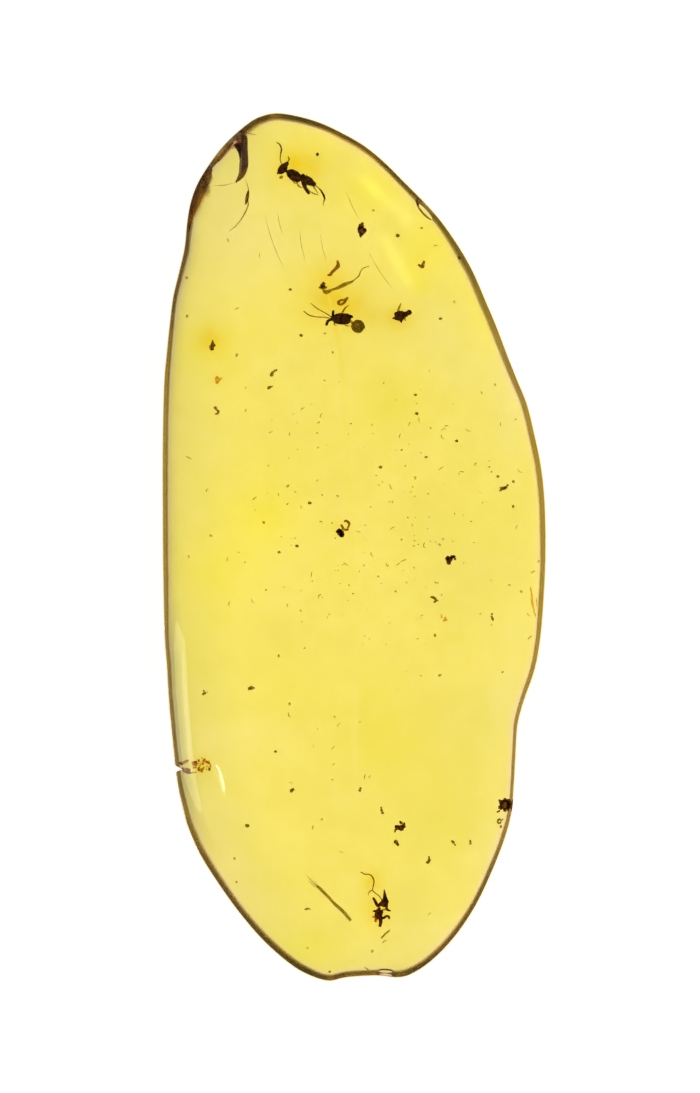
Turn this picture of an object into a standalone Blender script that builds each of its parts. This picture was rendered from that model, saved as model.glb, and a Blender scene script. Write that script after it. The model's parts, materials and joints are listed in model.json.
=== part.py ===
"""Insect in amber: a polished slab of clear amber with four small insects and plant debris sealed in it.

The slab lies flat on its polished underside. The origin is the middle of its footprint on that face,
+Y runs along its length and +Z is up. The slab is parted level with what it holds into an upper and a
lower half, and everything sealed in it lies in a pocket that opens on the parting plane.
"""

import math
import random

import bmesh
import bpy
from mathutils import Matrix, Vector

MM = 0.001

# The slab, in millimetres.
OUTLINE = (
    (-3.95, 22.0), (-2.8, 21.83), (-1.65, 21.48), (-0.4, 20.88), (0.6, 20.28), (1.57, 19.47),
    (2.42, 18.62), (3.27, 17.77), (4.32, 16.62), (5.27, 15.27), (6.02, 13.95), (6.67, 12.45),
    (7.22, 11.15), (7.77, 9.7), (8.27, 8.45), (8.77, 7.2), (9.15, 5.65), (9.45, 4.2), (9.62, 2.8),
    (9.7, 1.1), (9.7, -0.65), (9.62, -2.4), (9.46, -4.45), (9.17, -6.15), (8.62, -7.75),
    (8.29, -9.0), (8.18, -10.6), (8.1, -12.0), (7.98, -13.4), (7.64, -14.75), (7.0, -16.4),
    (6.17, -18.15), (5.16, -19.67), (4.08, -20.83), (3.12, -21.53), (2.3, -21.82), (1.1, -21.73),
    (-0.4, -21.82), (-1.3, -22.0), (-2.25, -21.73), (-3.22, -21.18), (-4.55, -20.03), (-5.72, -18.7),
    (-6.82, -17.2), (-7.83, -15.6), (-8.43, -14.25), (-8.71, -13.25), (-9.02, -11.7),
    (-9.37, -8.4), (-9.52, -6.15), (-9.64, -4.45), (-9.71, -1.05), (-9.73, 1.6), (-9.73, 5.2),
    (-9.66, 8.25), (-9.52, 9.9), (-9.36, 11.45), (-9.2, 12.7), (-8.9, 13.95), (-8.62, 15.2), (-8.49, 16.5),
    (-8.3, 17.5), (-7.97, 18.4), (-7.44, 19.3), (-6.77, 20.2), (-6.12, 20.86), (-5.47, 21.42),
    (-4.85, 21.8),
)
THICKNESS = 5.4
CROWN_RISE = 0.55  # the middle above the shoulder
SHOULDER_RISE = 0.3  # the shoulder above the rim's upper lip
SHOULDER_WIDTH = 2.2
LIP_RADIUS = 0.05  # the small rounding where the wall meets the upper face
ROUNDING_TURN = math.radians(80)  # how far the lower edge's rounding turns before it meets the wall
# The radius of that rounding, at bearings counted anticlockwise from +X.
ROUNDING_RADII = (
    (-180, 0.75), (-128, 0.8), (-107, 0.9), (-85, 0.75), (-60, 1.0), (-45, 0.7), (-20, 1.0), (30, 1.1),
    (50, 1.3), (66, 1.6), (72, 1.0), (98, 0.85), (104, 1.2), (107, 0.65), (110, 0.7), (113.3, 2.1),
    (116, 1.9), (119, 1.1), (122, 0.85),
)
PARTING_HEIGHT = 2.7
PARTING_GAP = 0.1
SLAB_SEGMENTS = 76
ROUNDING_STEPS = 3
SHOULDER_STEPS = (0.5, 1)  # fractions of the shoulder's width
CROWN_STEPS = (0.4, 0.85)  # fractions of the way from the shoulder to the middle line
SPINE_LENGTH_SHARE = 0.6
SPINE_BEND = 0.008  # per mm, how the middle line leans left towards the narrow end

# What is sealed in it.
POCKET_CLEARANCE = 0.06
POCKET_SIDES = 12
SMALL_POCKET_SIDES = 6
SMALL_POCKET_LENGTH = 0.5  # shorter pieces get a pocket with fewer sides
CRUMB_ROUGHNESS = 0.22
# name: x, y, height above the underside, length, width, bearing of the length in degrees
CRUMBS = {
    "bark_crumb_upper": (0.29, 16.1, 3.0, 0.68, 0.46, 75),
    "grit_upper_right": (2.14, 15.79, 2.6, 0.25, 0.22, 20),
    "grit_above_profile_insect": (-1.91, 19.87, 3.1, 0.2, 0.16, 110),
    "flake_three_cornered": (-1.56, 13.26, 2.8, 0.34, 0.3, 30),
    "grain_left_of_thread": (-3.17, 13.1, 2.4, 0.2, 0.17, 0),
    "crumb_upper_left": (-7.2, 10.24, 2.9, 0.38, 0.27, 60),
    "orange_crumb_left": (-6.94, 8.49, 2.5, 0.32, 0.22, 150),
    "grain_centre_left_upper": (-4.06, 8.85, 2.7, 0.28, 0.18, 20),
    "grain_centre_left_lower": (-4.22, 8.11, 2.5, 0.3, 0.2, 100),
    "grain_below_antennae": (-2.64, 10.76, 2.6, 0.25, 0.16, 30),
    "grain_right_of_curled_insect": (4.31, 11.59, 2.9, 0.2, 0.17, 0),
    "grain_right_upper": (3.01, 7.72, 2.5, 0.2, 0.16, 0),
    "grain_right_middle": (3.09, 6.76, 3.0, 0.24, 0.18, 45),
    "grain_right_lower": (5.12, 5.38, 2.7, 0.22, 0.17, 10),
    "grain_middle": (1.28, 4.06, 2.6, 0.26, 0.18, 15),
    "crumb_right_edge": (7.52, 2.98, 2.9, 0.42, 0.24, 20),
    "grain_right_edge_upper": (7.24, 3.58, 2.6, 0.2, 0.16, 0),
    "grain_right_edge_lower": (7.98, 2.05, 2.8, 0.2, 0.16, 90),
    "grain_centre_upper": (-2.22, 2.24, 3.0, 0.24, 0.18, 0),
    "granule_beside_ring": (-0.7, 0.7, 2.6, 0.4, 0.28, 70),
    "grain_centre_lower": (-2.86, 0.05, 2.5, 0.22, 0.18, 0),
    "grain_centre_lowest": (-3.76, -0.26, 2.7, 0.2, 0.17, 30),
    "bark_crumb_right": (4.8, -0.62, 2.8, 0.52, 0.44, 60),
    "crumb_right_of_centre": (3.96, -2.66, 2.6, 0.28, 0.2, 150),
    "orange_crumb_right": (4.47, -3.6, 2.9, 0.36, 0.24, 100),
    "grain_right_low": (6.91, -3.55, 2.5, 0.22, 0.16, 30),
    "crumb_lower_left": (-5.18, -7.17, 2.7, 0.34, 0.27, 0),
    "grain_lower_left_edge": (-7.59, -7.42, 2.9, 0.24, 0.17, 20),
    "grain_lower_middle": (-3.94, -10.39, 2.6, 0.2, 0.16, 0),
    "crumb_lower_middle": (-3.08, -12.32, 2.9, 0.28, 0.26, 0),
    "grain_lower_centre": (0.26, -12.32, 2.5, 0.22, 0.17, 45),
    "crumb_low_left": (-5.4, -14.15, 2.6, 0.28, 0.22, 0),
    "grain_above_low_crumb": (1.32, -13.38, 2.8, 0.22, 0.17, 0),
    "bark_crumb_low": (2.23, -14.18, 2.7, 0.56, 0.42, 30),
    "crumb_under_low_bark": (2.06, -15.0, 2.9, 0.28, 0.25, 0),
    "crumb_low_right": (3.7, -15.94, 2.6, 0.32, 0.26, 60),
    "crumb_low_right_upper": (4.99, -15.0, 2.8, 0.3, 0.22, 10),
    "grain_low_right": (5.78, -15.0, 2.5, 0.22, 0.17, 90),
    "bark_cluster_at_edge": (7.52, -13.08, 2.7, 0.72, 0.56, 5),
    "grain_under_cluster": (7.29, -13.93, 2.7, 0.24, 0.24, 0),
}
# name: thickness in the middle, and the points that it runs through
THREADS = {
    "curved_fragment": (0.13, ((-1.34, 13.78, 3.0), (-1.0, 14.1, 3.05), (-0.87, 14.3, 3.0), (-0.93, 14.5, 2.95))),
    "knobbed_stem_with_thread": (
        0.17,
        ((-1.42, 12.9, 2.7), (-0.98, 13.13, 2.72), (-0.6, 13.28, 2.75), (-0.2, 13.43, 2.8),
         (0.14, 13.79, 2.85), (0.3, 14.09, 2.9), (0.65, 14.23, 2.9)),
    ),
    "bent_loop": (0.13, ((-0.75, 12.55, 3.1), (-0.76, 12.36, 3.1), (-0.62, 12.3, 3.1), (-0.38, 12.6, 3.12))),
    "v_shaped_bit": (0.11, ((3.24, 14.44, 2.7), (3.38, 14.27, 2.7), (3.53, 14.33, 2.72))),
    "s_shaped_bit": (0.12, ((-7.09, 7.08, 2.6), (-7.01, 6.97, 2.6), (-7.05, 6.88, 2.6), (-6.95, 6.8, 2.62))),
    "ring_shaped_bit": (0.12, ((-0.55, 1.06, 2.8), (-0.37, 1.2, 2.8), (-0.25, 1.09, 2.8), (-0.32, 0.95, 2.8))),
    "thin_flake_at_edge": (0.14, ((8.9, -2.1, 2.7), (8.98, -2.6, 2.72), (9.07, -3.1, 2.74), (9.14, -3.6, 2.75))),
    "plant_rod": (0.16, ((-1.86, -17.2, 2.6), (-1.2, -17.9, 2.65), (-0.6, -18.5, 2.7), (-0.14, -18.94, 2.75))),
    "splinter_right": (0.12, ((1.37, -19.81, 2.7), (1.78, -19.45, 2.75))),
    "splinter_left": (0.1, ((-2.42, -18.42, 2.5), (-2.26, -18.28, 2.5))),
    "orange_crumb_patch": (0.3, ((-7.95, -11.1, 2.7), (-7.68, -11.03, 2.72), (-7.45, -11.12, 2.7))),
}
ORANGE_THREADS = ("thin_flake_at_edge", "orange_crumb_patch")

# Chips out of the lower edge: squashed balls that bite into the slab from below.
CHIPS = {
    # name: centre, half sizes, bearing
    "flake_scar_upper_left": ((-6.75, 20.15, -0.12), (1.7, 1.35, 0.5), 60),
    "chip_upper_right": ((3.75, 17.22, 0.55), (0.5, 0.32, 0.42), -45),
    "chip_lower_end": ((1.5, -21.72, 0.4), (0.42, 0.26, 0.4), 0),
}
# The hooked inner side of the flake scar, a groove with a V section: x, y and half width at its stations.
SCAR_GROOVE = (
    (-5.75, 21.6, 0.4), (-5.72, 21.1, 0.36), (-5.68, 20.48, 0.3), (-5.55, 19.87, 0.21), (-5.53, 19.36, 0.18),
    (-5.64, 18.91, 0.13), (-5.9, 18.53, 0.03),
)
SCAR_GROOVE_STEEPNESS = 1.5  # its depth over its half width
NOTCH_TIP = (-8.72, -11.27)
NOTCH_MOUTH = (-9.6, -11.2)
NOTCH_HALF_WIDTH = 0.3


def clear_scene():
    for item in list(bpy.data.objects):
        bpy.data.objects.remove(item)


def make_material(name, colour, roughness, transmission=0.0):
    material = bpy.data.materials.new(name)
    material.use_nodes = True
    shader = material.node_tree.nodes["Principled BSDF"]
    shader.inputs["Base Color"].default_value = (*colour, 1)
    shader.inputs["Roughness"].default_value = roughness
    shader.inputs["Metallic"].default_value = 0
    shader.inputs["Transmission Weight"].default_value = transmission
    shader.inputs["IOR"].default_value = 1.54
    return material


def collection(name):
    made = bpy.data.collections.new(name)
    bpy.context.scene.collection.children.link(made)
    return made


def add_mesh_object(bm, name, into):
    mesh = bpy.data.meshes.new(name)
    bm.to_mesh(mesh)
    bm.free()
    item = bpy.data.objects.new(name, mesh)
    into.objects.link(item)
    return item


def as_guide(item):
    """Cutters and the shapes fused into another object show as wires and aren't parts themselves."""
    item.hide_render = True
    item.display_type = "WIRE"
    return item


def boolean(item, operation, other):
    modifier = item.modifiers.new(operation.lower(), "BOOLEAN")
    modifier.operation = operation
    modifier.solver = "EXACT"
    if isinstance(other, bpy.types.Collection):
        modifier.operand_type = "COLLECTION"
        modifier.collection = other
    else:
        modifier.object = other


# The slab


def spline_points(points, steps):
    """Points along a closed smooth curve through the given ones."""
    count = len(points)
    curve = []
    for i in range(count):
        before, here, after, beyond = (Vector(points[(i + k) % count]) for k in (-1, 0, 1, 2))
        for step in range(steps):
            t = step / steps
            curve.append(
                here
                + 0.5 * t * (after - before)
                + t * t * (before - 2.5 * here + 2 * after - 0.5 * beyond)
                + t**3 * (1.5 * (here - after) + 0.5 * (beyond - before))
            )
    return curve


def evenly_spaced(curve, count):
    """The closed curve read again at equal distances."""
    closed = curve + [curve[0]]
    reach = [0.0]
    for a, b in zip(closed, closed[1:]):
        reach.append(reach[-1] + (b - a).length)
    spaced, at = [], 0
    for i in range(count):
        want = reach[-1] * i / count
        while reach[at + 1] < want:
            at += 1
        share = (want - reach[at]) / (reach[at + 1] - reach[at])
        spaced.append(closed[at].lerp(closed[at + 1], share))
    return spaced


def spine_point(edge):
    """The point of the slab's middle line that an edge point looks towards."""
    y = SPINE_LENGTH_SHARE * edge.y
    return Vector((-SPINE_BEND * max(y, 0) ** 2, y))


def rounding_radius(edge):
    """The lower rounding's radius at an edge point, blended smoothly between the bearings that are given."""
    bearing = math.degrees(math.atan2(edge.y, edge.x))
    stops = ROUNDING_RADII + ((180, ROUNDING_RADII[0][1]),)
    for (start, first), (end, second) in zip(stops, stops[1:]):
        if start <= bearing <= end:
            return first + eased((bearing - start) / (end - start)) * (second - first)
    raise ValueError(bearing)


def eased(share):
    """From 0 to 1, level at both ends."""
    return (1 - math.cos(math.pi * min(1, share))) / 2


def upper_height(depth, share):
    """The upper face's height at a depth in from the rim and a share of the way to the middle line."""
    lip = LIP_RADIUS * math.sqrt(1 - max(0, 1 - depth / LIP_RADIUS) ** 2)
    rim = THICKNESS - CROWN_RISE - SHOULDER_RISE - LIP_RADIUS
    return rim + lip + SHOULDER_RISE * eased(depth / SHOULDER_WIDTH) + CROWN_RISE * eased(share)


def slab_rings():
    """Closed rings of points from the flat underside, out round the edge and up to the crown."""
    edges = evenly_spaced(spline_points(OUTLINE, 8), SLAB_SEGMENTS)
    inwards = [spine_point(edge) - edge for edge in edges]
    radii = [rounding_radius(edge) for edge in edges]
    rings = []

    def add_ring(depths, heights):
        rings.append([
            Vector((*(edge + inward.normalized() * depth), height)) * MM
            for edge, inward, depth, height in zip(edges, inwards, depths, heights)
        ])

    for step in range(ROUNDING_STEPS + 1):
        turn = step / ROUNDING_STEPS * ROUNDING_TURN
        depths = [radius * (math.sin(ROUNDING_TURN) - math.sin(turn)) for radius in radii]
        add_ring(depths, [radius * (1 - math.cos(turn)) for radius in radii])
    fixed_depths = [0, LIP_RADIUS] + [share * SHOULDER_WIDTH for share in SHOULDER_STEPS]
    for depth in fixed_depths:
        add_ring([depth] * len(edges), [upper_height(depth, depth / inward.length) for inward in inwards])
    for share in CROWN_STEPS:
        depths = [SHOULDER_WIDTH + share * (inward.length - SHOULDER_WIDTH) for inward in inwards]
        add_ring(depths, [upper_height(d, d / inward.length) for d, inward in zip(depths, inwards)])
    return rings


def loft(rings, name, into):
    """A closed solid through the rings, with a flat cap on the first and the last."""
    bm = bmesh.new()
    loops = [[bm.verts.new(point) for point in ring] for ring in rings]
    count = len(rings[0])
    for lower, upper in zip(loops, loops[1:]):
        for i in range(count):
            j = (i + 1) % count
            bm.faces.new((lower[i], lower[j], upper[j], upper[i]))
    bm.faces.new(loops[0])
    bm.faces.new(loops[-1])
    bmesh.ops.recalc_face_normals(bm, faces=bm.faces)
    return add_mesh_object(bm, name, into)


def half_space(name, low, high, into):
    """A box over the whole slab between two heights."""
    bm = bmesh.new()
    size = Matrix.Diagonal((30 * MM, 60 * MM, (high - low) * MM, 1))
    bmesh.ops.create_cube(bm, size=1, matrix=Matrix.Translation((0, 0, (low + high) / 2 * MM)) @ size)
    return as_guide(add_mesh_object(bm, name, into))


def ball_cutter(name, centre, half_sizes, bearing, into):
    bm = bmesh.new()
    place = Matrix.Translation(Vector(centre) * MM) @ Matrix.Rotation(math.radians(bearing), 4, "Z")
    size = Matrix.Diagonal((*(Vector(half_sizes) * MM), 1))
    bmesh.ops.create_uvsphere(bm, u_segments=16, v_segments=10, radius=1, matrix=place @ size)
    return as_guide(add_mesh_object(bm, name, into))


def notch_cutter(into):
    """An upright wedge that nicks the left edge."""
    mouth, tip = Vector(NOTCH_MOUTH), Vector(NOTCH_TIP)
    side = (mouth - tip).orthogonal().normalized() * NOTCH_HALF_WIDTH
    bm = bmesh.new()
    corners = [bm.verts.new(Vector((p.x, p.y, -1)) * MM) for p in (mouth + side, mouth - side, tip)]
    base = bm.faces.new(corners)
    grown = bmesh.ops.extrude_face_region(bm, geom=[base])
    raised = [v for v in grown["geom"] if isinstance(v, bmesh.types.BMVert)]
    bmesh.ops.translate(bm, verts=raised, vec=(0, 0, 8 * MM))
    bmesh.ops.recalc_face_normals(bm, faces=bm.faces)
    return as_guide(add_mesh_object(bm, "notch_cutter", into))


def groove_cutter(into):
    """A bar with a diamond section along the scar's groove, its middle level with the underside."""
    stations = [Vector((x, y, 0)) for x, y, _ in SCAR_GROOVE]
    rings = []
    for i, (here, (_, _, half_width)) in enumerate(zip(stations, SCAR_GROOVE)):
        along = stations[min(i + 1, len(stations) - 1)] - stations[max(i - 1, 0)]
        side = Vector((-along.y, along.x, 0)).normalized()
        up = Vector((0, 0, SCAR_GROOVE_STEEPNESS))
        rings.append([(here + half_width * way) * MM for way in (side, up, -side, -up)])
    return as_guide(loft(rings, "scar_groove_cutter", into))


# What is sealed in the slab


def blob(centre, size, bearing=0.0):
    """A ball-like body segment: its middle, length, width and height in mm, and its length's bearing."""
    bm = bmesh.new()
    place = Matrix.Translation(Vector(centre) * MM) @ Matrix.Rotation(math.radians(bearing), 4, "Z")
    turn = Matrix.Rotation(math.pi / 2, 4, "Y")
    half = Matrix.Diagonal((*(Vector(size) * 0.5 * MM), 1))
    bmesh.ops.create_uvsphere(bm, u_segments=8, v_segments=6, radius=1, matrix=place @ half @ turn)
    return bm


def limb(points, thickness, tip_share=0.6):
    """A leg, antenna or thread as a tube along the points, which thins towards its last one."""
    curve = bpy.data.curves.new("limb", "CURVE")
    curve.dimensions = "3D"
    curve.bevel_depth = thickness / 2 * MM
    curve.bevel_resolution = 1
    curve.use_fill_caps = True
    spline = curve.splines.new("POLY")
    spline.points.add(len(points) - 1)
    for i, (spot, point) in enumerate(zip(spline.points, points)):
        spot.co = (*(Vector(point) * MM), 1)
        spot.radius = 1 - (1 - tip_share) * i / (len(points) - 1)
    guide = bpy.data.objects.new("limb", curve)
    bpy.context.scene.collection.objects.link(guide)
    mesh = bpy.data.meshes.new_from_object(guide.evaluated_get(bpy.context.evaluated_depsgraph_get()))
    bpy.data.objects.remove(guide)
    bm = bmesh.new()
    bm.from_mesh(mesh)
    bmesh.ops.remove_doubles(bm, verts=bm.verts, dist=0.001 * MM)
    bmesh.ops.recalc_face_normals(bm, faces=bm.faces)
    bpy.data.meshes.remove(mesh)
    return bm


def creature(name, place, shapes, material, part_group):
    """One insect: its body segments and limbs joined in one solid."""
    body = add_mesh_object(shapes[0], name, part_group)
    body.location = Vector(place) * MM
    body.data.materials.append(material)
    joined = collection(name + "_shapes")
    for number, shape in enumerate(shapes[1:]):
        guide = as_guide(add_mesh_object(shape, f"{name}_shape_{number}", joined))
        guide.parent = body
    boolean(body, "UNION", joined)
    return body


def insect_in_profile(material, part_group):
    """Lies on its side with its head bent down and its hind legs trailing."""
    shapes = [
        blob((-0.12, 0.06, 0), (0.9, 0.58, 0.55), -36),
        blob((-0.66, 0.43, 0.02), (0.74, 0.3, 0.34), 50),
        blob((-0.42, 0.27, 0), (0.44, 0.18, 0.2), -36),
        blob((0.2, -0.08, 0), (0.3, 0.26, 0.24), -30),
        blob((0.61, -0.22, 0), (0.86, 0.46, 0.46), -30),
        limb(((-0.64, 0.5, 0.02), (-0.8, 0.91, 0.05), (-0.75, 1.3, 0.1), (-0.98, 1.67, 0.12)), 0.09),
        limb(((-0.52, 0.66, 0.02), (-0.37, 0.92, 0.08), (-0.42, 1.1, 0.1)), 0.08),
        limb(((0.3, -0.15, -0.05), (0.46, -0.62, -0.06), (0.62, -0.88, -0.06), (0.96, -0.95, -0.05)), 0.18, 0.35),
        limb(((0.8, -0.4, -0.05), (0.92, -0.6, -0.06), (1.08, -0.86, -0.05)), 0.08),
        limb(((0.86, -0.38, 0.05), (1.27, -0.76, 0.08), (1.41, -1.14, 0.1), (1.33, -1.45, 0.1)), 0.1, 0.5),
        limb(((-0.1, -0.12, 0), (0.1, -0.44, -0.1), (0.25, -0.6, -0.1)), 0.09),
    ]
    return creature("insect_in_profile", (-2.96, 18.76, 3.0), shapes, material, part_group)


def long_horned_insect(material, part_group):
    """Seen from above, with two long antennae ahead of it and a round hind body."""
    shapes = [
        blob((-0.15, 0.02, 0), (0.88, 0.52, 0.5), -4),
        blob((0.26, 0.14, 0.02), (0.22, 0.18, 0.2), 0),
        blob((0.31, -0.16, 0), (0.3, 0.17, 0.18), -40),
        blob((0.6, -0.36, 0), (0.7, 0.68, 0.6), -40),
        blob((-0.68, 0.02, 0), (0.34, 0.3, 0.28), 20),
        limb(((-0.6, 0.06, 0.02), (-0.65, 0.22, 0.04), (-0.63, 0.46, 0.06)), 0.13, 0.7),
        limb(((-0.68, -0.02, 0), (-0.86, -0.12, 0), (-0.93, -0.31, -0.03)), 0.14, 0.8),
        limb(((-0.72, 0.1, 0.05), (-0.97, 0.33, 0.08), (-1.37, 0.58, 0.1), (-1.68, 0.81, 0.08)), 0.07),
        limb(((-0.74, 0.03, 0.05), (-0.98, 0.13, 0.05), (-1.37, 0.14, 0.02), (-1.74, 0.2, 0), (-2.03, 0.43, 0)), 0.07),
        limb(((-0.16, 0.15, 0), (-0.16, 0.44, -0.04), (0.1, 0.72, -0.06)), 0.08),
    ]
    return creature("long_horned_insect", (-0.48, 11.56, 2.6), shapes, material, part_group)


def curled_insect(material, part_group):
    """A compact one, curled up, with one leg out and its head drawn aside."""
    shapes = [
        blob((-0.02, 0, 0), (0.66, 0.56, 0.5), 25),
        blob((-0.18, -0.1, 0), (0.3, 0.28, 0.28), 0),
        blob((0.26, 0.1, 0), (0.34, 0.2, 0.22), 20),
        blob((0.46, 0.21, 0), (0.36, 0.33, 0.3), 40),
        limb(((-0.08, 0.1, 0), (-0.06, 0.4, 0.05), (0.07, 0.66, 0.08)), 0.13, 0.5),
        limb(((0, -0.1, 0), (0.04, -0.24, 0), (0.07, -0.33, 0)), 0.16, 0.5),
    ]
    return creature("curled_insect", (2.24, 11.7, 2.9), shapes, material, part_group)


def crumpled_insect(material, part_group):
    """Crushed before the resin set: two crumpled halves, folded legs and one long bent antenna."""
    shapes = [
        blob((0.14, 0.24, 0), (0.5, 0.4, 0.42), 70),
        blob((-0.12, -0.37, 0), (0.58, 0.42, 0.4), 95),
        blob((-0.04, -0.05, 0), (0.36, 0.16, 0.2), 70),
        limb(((0.18, 0.3, 0), (0.22, 0.6, 0.04), (0.13, 0.89, 0.06)), 0.26, 0.3),
        limb(((0.0, 0.17, 0), (-0.18, 0.13, 0), (-0.39, 0.5, 0.03)), 0.15, 0.8),
        limb(((0.24, 0.14, 0), (0.32, -0.12, 0), (0.46, -0.22, 0)), 0.13, 0.8),
        limb(((-0.14, -0.3, 0), (-0.26, -0.26, 0), (-0.4, -0.24, 0)), 0.14, 0.5),
        limb(((-0.05, -0.5, 0), (0.24, -0.53, 0), (0.38, -0.64, 0)), 0.14, 0.7),
        limb(((-0.1, -0.5, 0), (-0.02, -0.76, 0), (-0.05, -1.02, 0)), 0.2, 0.8),
        limb(((-0.16, -0.5, 0), (-0.24, -0.66, 0), (-0.26, -0.76, 0)), 0.12, 0.8),
        limb(
            ((0.06, 0.3, 0.04), (-0.12, 0.6, 0.08), (-0.28, 0.76, 0.1), (-0.48, 0.83, 0.1), (-0.38, 1.03, 0.12),
             (-0.36, 1.42, 0.12), (-0.59, 1.71, 0.1), (-0.79, 1.72, 0.08), (-1.04, 1.81, 0.06)),
            0.07, 0.9,
        ),
    ]
    return creature("crumpled_insect", (1.34, -18.25, 2.6), shapes, material, part_group)


def crumb(name, x, y, height, length, width, bearing, material, part_group):
    """An uneven grain. The same name always gives the same grain."""
    chance = random.Random(name)
    bm = bmesh.new()
    bmesh.ops.create_icosphere(bm, subdivisions=2 if length > 0.3 else 1, radius=0.5)
    for vert in bm.verts:
        vert.co *= 1 + CRUMB_ROUGHNESS * (chance.random() - 0.5)
    size = Matrix.Diagonal((length * MM, width * MM, 0.9 * width * MM, 1))
    bmesh.ops.transform(bm, matrix=size, verts=bm.verts)
    item = add_mesh_object(bm, name, part_group)
    item.location = Vector((x, y, height)) * MM
    item.rotation_euler.z = math.radians(bearing)
    item.data.materials.append(material)
    return item


def thread(name, thickness, points, material, part_group):
    item = add_mesh_object(limb(points, thickness), name, part_group)
    item.data.materials.append(material)
    return item


def pocket_cutter(item, into):
    """An upright prism round the item that crosses the parting plane, so that its pocket opens on both halves."""
    seen = item.evaluated_get(bpy.context.evaluated_depsgraph_get())
    spots = [seen.matrix_world @ vert.co for vert in seen.to_mesh().vertices]
    seen.to_mesh_clear()
    middle = sum((Vector(spot) for spot in spots), Vector()) / len(spots)
    bearing = principal_bearing(spots, middle)
    along, across = Vector((math.cos(bearing), math.sin(bearing))), Vector((-math.sin(bearing), math.cos(bearing)))
    spans = []
    for axis in (along, across):
        reach = [spot.xy.dot(axis) for spot in spots]
        spans.append((min(reach), max(reach)))
    centre = along * sum(spans[0]) / 2 + across * sum(spans[1]) / 2
    half_length, half_width = ((high - low) / 2 for low, high in spans)
    fill = max(
        math.hypot((s.xy - centre).dot(along) / half_length, (s.xy - centre).dot(across) / half_width) for s in spots
    )
    clearance = POCKET_CLEARANCE * MM
    sides = SMALL_POCKET_SIDES if half_length * 2 < SMALL_POCKET_LENGTH * MM else POCKET_SIDES
    flat = math.cos(math.pi / sides)
    half_height = max(abs(s.z - PARTING_HEIGHT * MM) for s in spots) + clearance
    bm = bmesh.new()
    place = Matrix.Translation((centre.x, centre.y, PARTING_HEIGHT * MM)) @ Matrix.Rotation(bearing, 4, "Z")
    size = Matrix.Diagonal(
        ((half_length * fill + clearance) / flat, (half_width * fill + clearance) / flat, 2 * half_height, 1)
    )
    bmesh.ops.create_cone(bm, cap_ends=True, segments=sides, radius1=1, radius2=1, depth=1, matrix=place @ size)
    return as_guide(add_mesh_object(bm, item.name + "_pocket", into))


def principal_bearing(spots, middle):
    """The bearing of the direction in which the points spread most, seen from above."""
    xx = sum((s.x - middle.x) ** 2 for s in spots)
    yy = sum((s.y - middle.y) ** 2 for s in spots)
    xy = sum((s.x - middle.x) * (s.y - middle.y) for s in spots)
    return math.atan2(2 * xy, xx - yy) / 2


def build():
    clear_scene()
    parts = collection("insect_in_amber")
    cutters = collection("cutters")
    pockets = collection("pockets")
    amber = make_material("amber", (0.91, 0.78, 0.13), 0.05, 1.0)
    chitin = make_material("chitin", (0.03, 0.016, 0.01), 0.35)
    red_chitin = make_material("red_chitin", (0.07, 0.018, 0.008), 0.4)
    bark = make_material("bark", (0.06, 0.035, 0.015), 0.8)
    plant_fibre = make_material("plant_fibre", (0.16, 0.1, 0.03), 0.7)
    orange_resin = make_material("orange_resin", (0.55, 0.2, 0.03), 0.5)

    sealed = [
        insect_in_profile(chitin, parts),
        long_horned_insect(chitin, parts),
        curled_insect(chitin, parts),
        crumpled_insect(red_chitin, parts),
    ]
    for name, sizes in CRUMBS.items():
        sealed.append(crumb(name, *sizes, orange_resin if "orange" in name else bark, parts))
    for name, (thickness, points) in THREADS.items():
        sealed.append(thread(name, thickness, points, orange_resin if name in ORANGE_THREADS else plant_fibre, parts))
    for item in sealed:
        pocket_cutter(item, pockets)

    for name, (centre, half_sizes, bearing) in CHIPS.items():
        ball_cutter(name + "_cutter", centre, half_sizes, bearing, cutters)
    notch = notch_cutter(cutters)
    groove = groove_cutter(cutters)
    lower = loft(slab_rings(), "amber_lower", parts)
    lower.data.materials.append(amber)
    upper = bpy.data.objects.new("amber_upper", lower.data)
    parts.objects.link(upper)
    low_edge, high_edge = PARTING_HEIGHT - PARTING_GAP / 2, PARTING_HEIGHT + PARTING_GAP / 2
    boolean(lower, "INTERSECT", half_space("below_parting", -5, low_edge, cutters))
    boolean(upper, "INTERSECT", half_space("above_parting", high_edge, 12, cutters))
    for half in (lower, upper):
        boolean(half, "DIFFERENCE", pockets)
        boolean(half, "DIFFERENCE", notch)
    boolean(lower, "DIFFERENCE", groove)
    for name in CHIPS:
        boolean(lower, "DIFFERENCE", bpy.data.objects[name + "_cutter"])


build()
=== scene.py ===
"""Insect in amber, dressed: a clear slab on a light table, with insects and plant debris sealed in it."""

import json
import math
import random
from functools import partial

import bmesh
import bpy
import numpy as np
from mathutils import Matrix, Vector, noise

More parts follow.
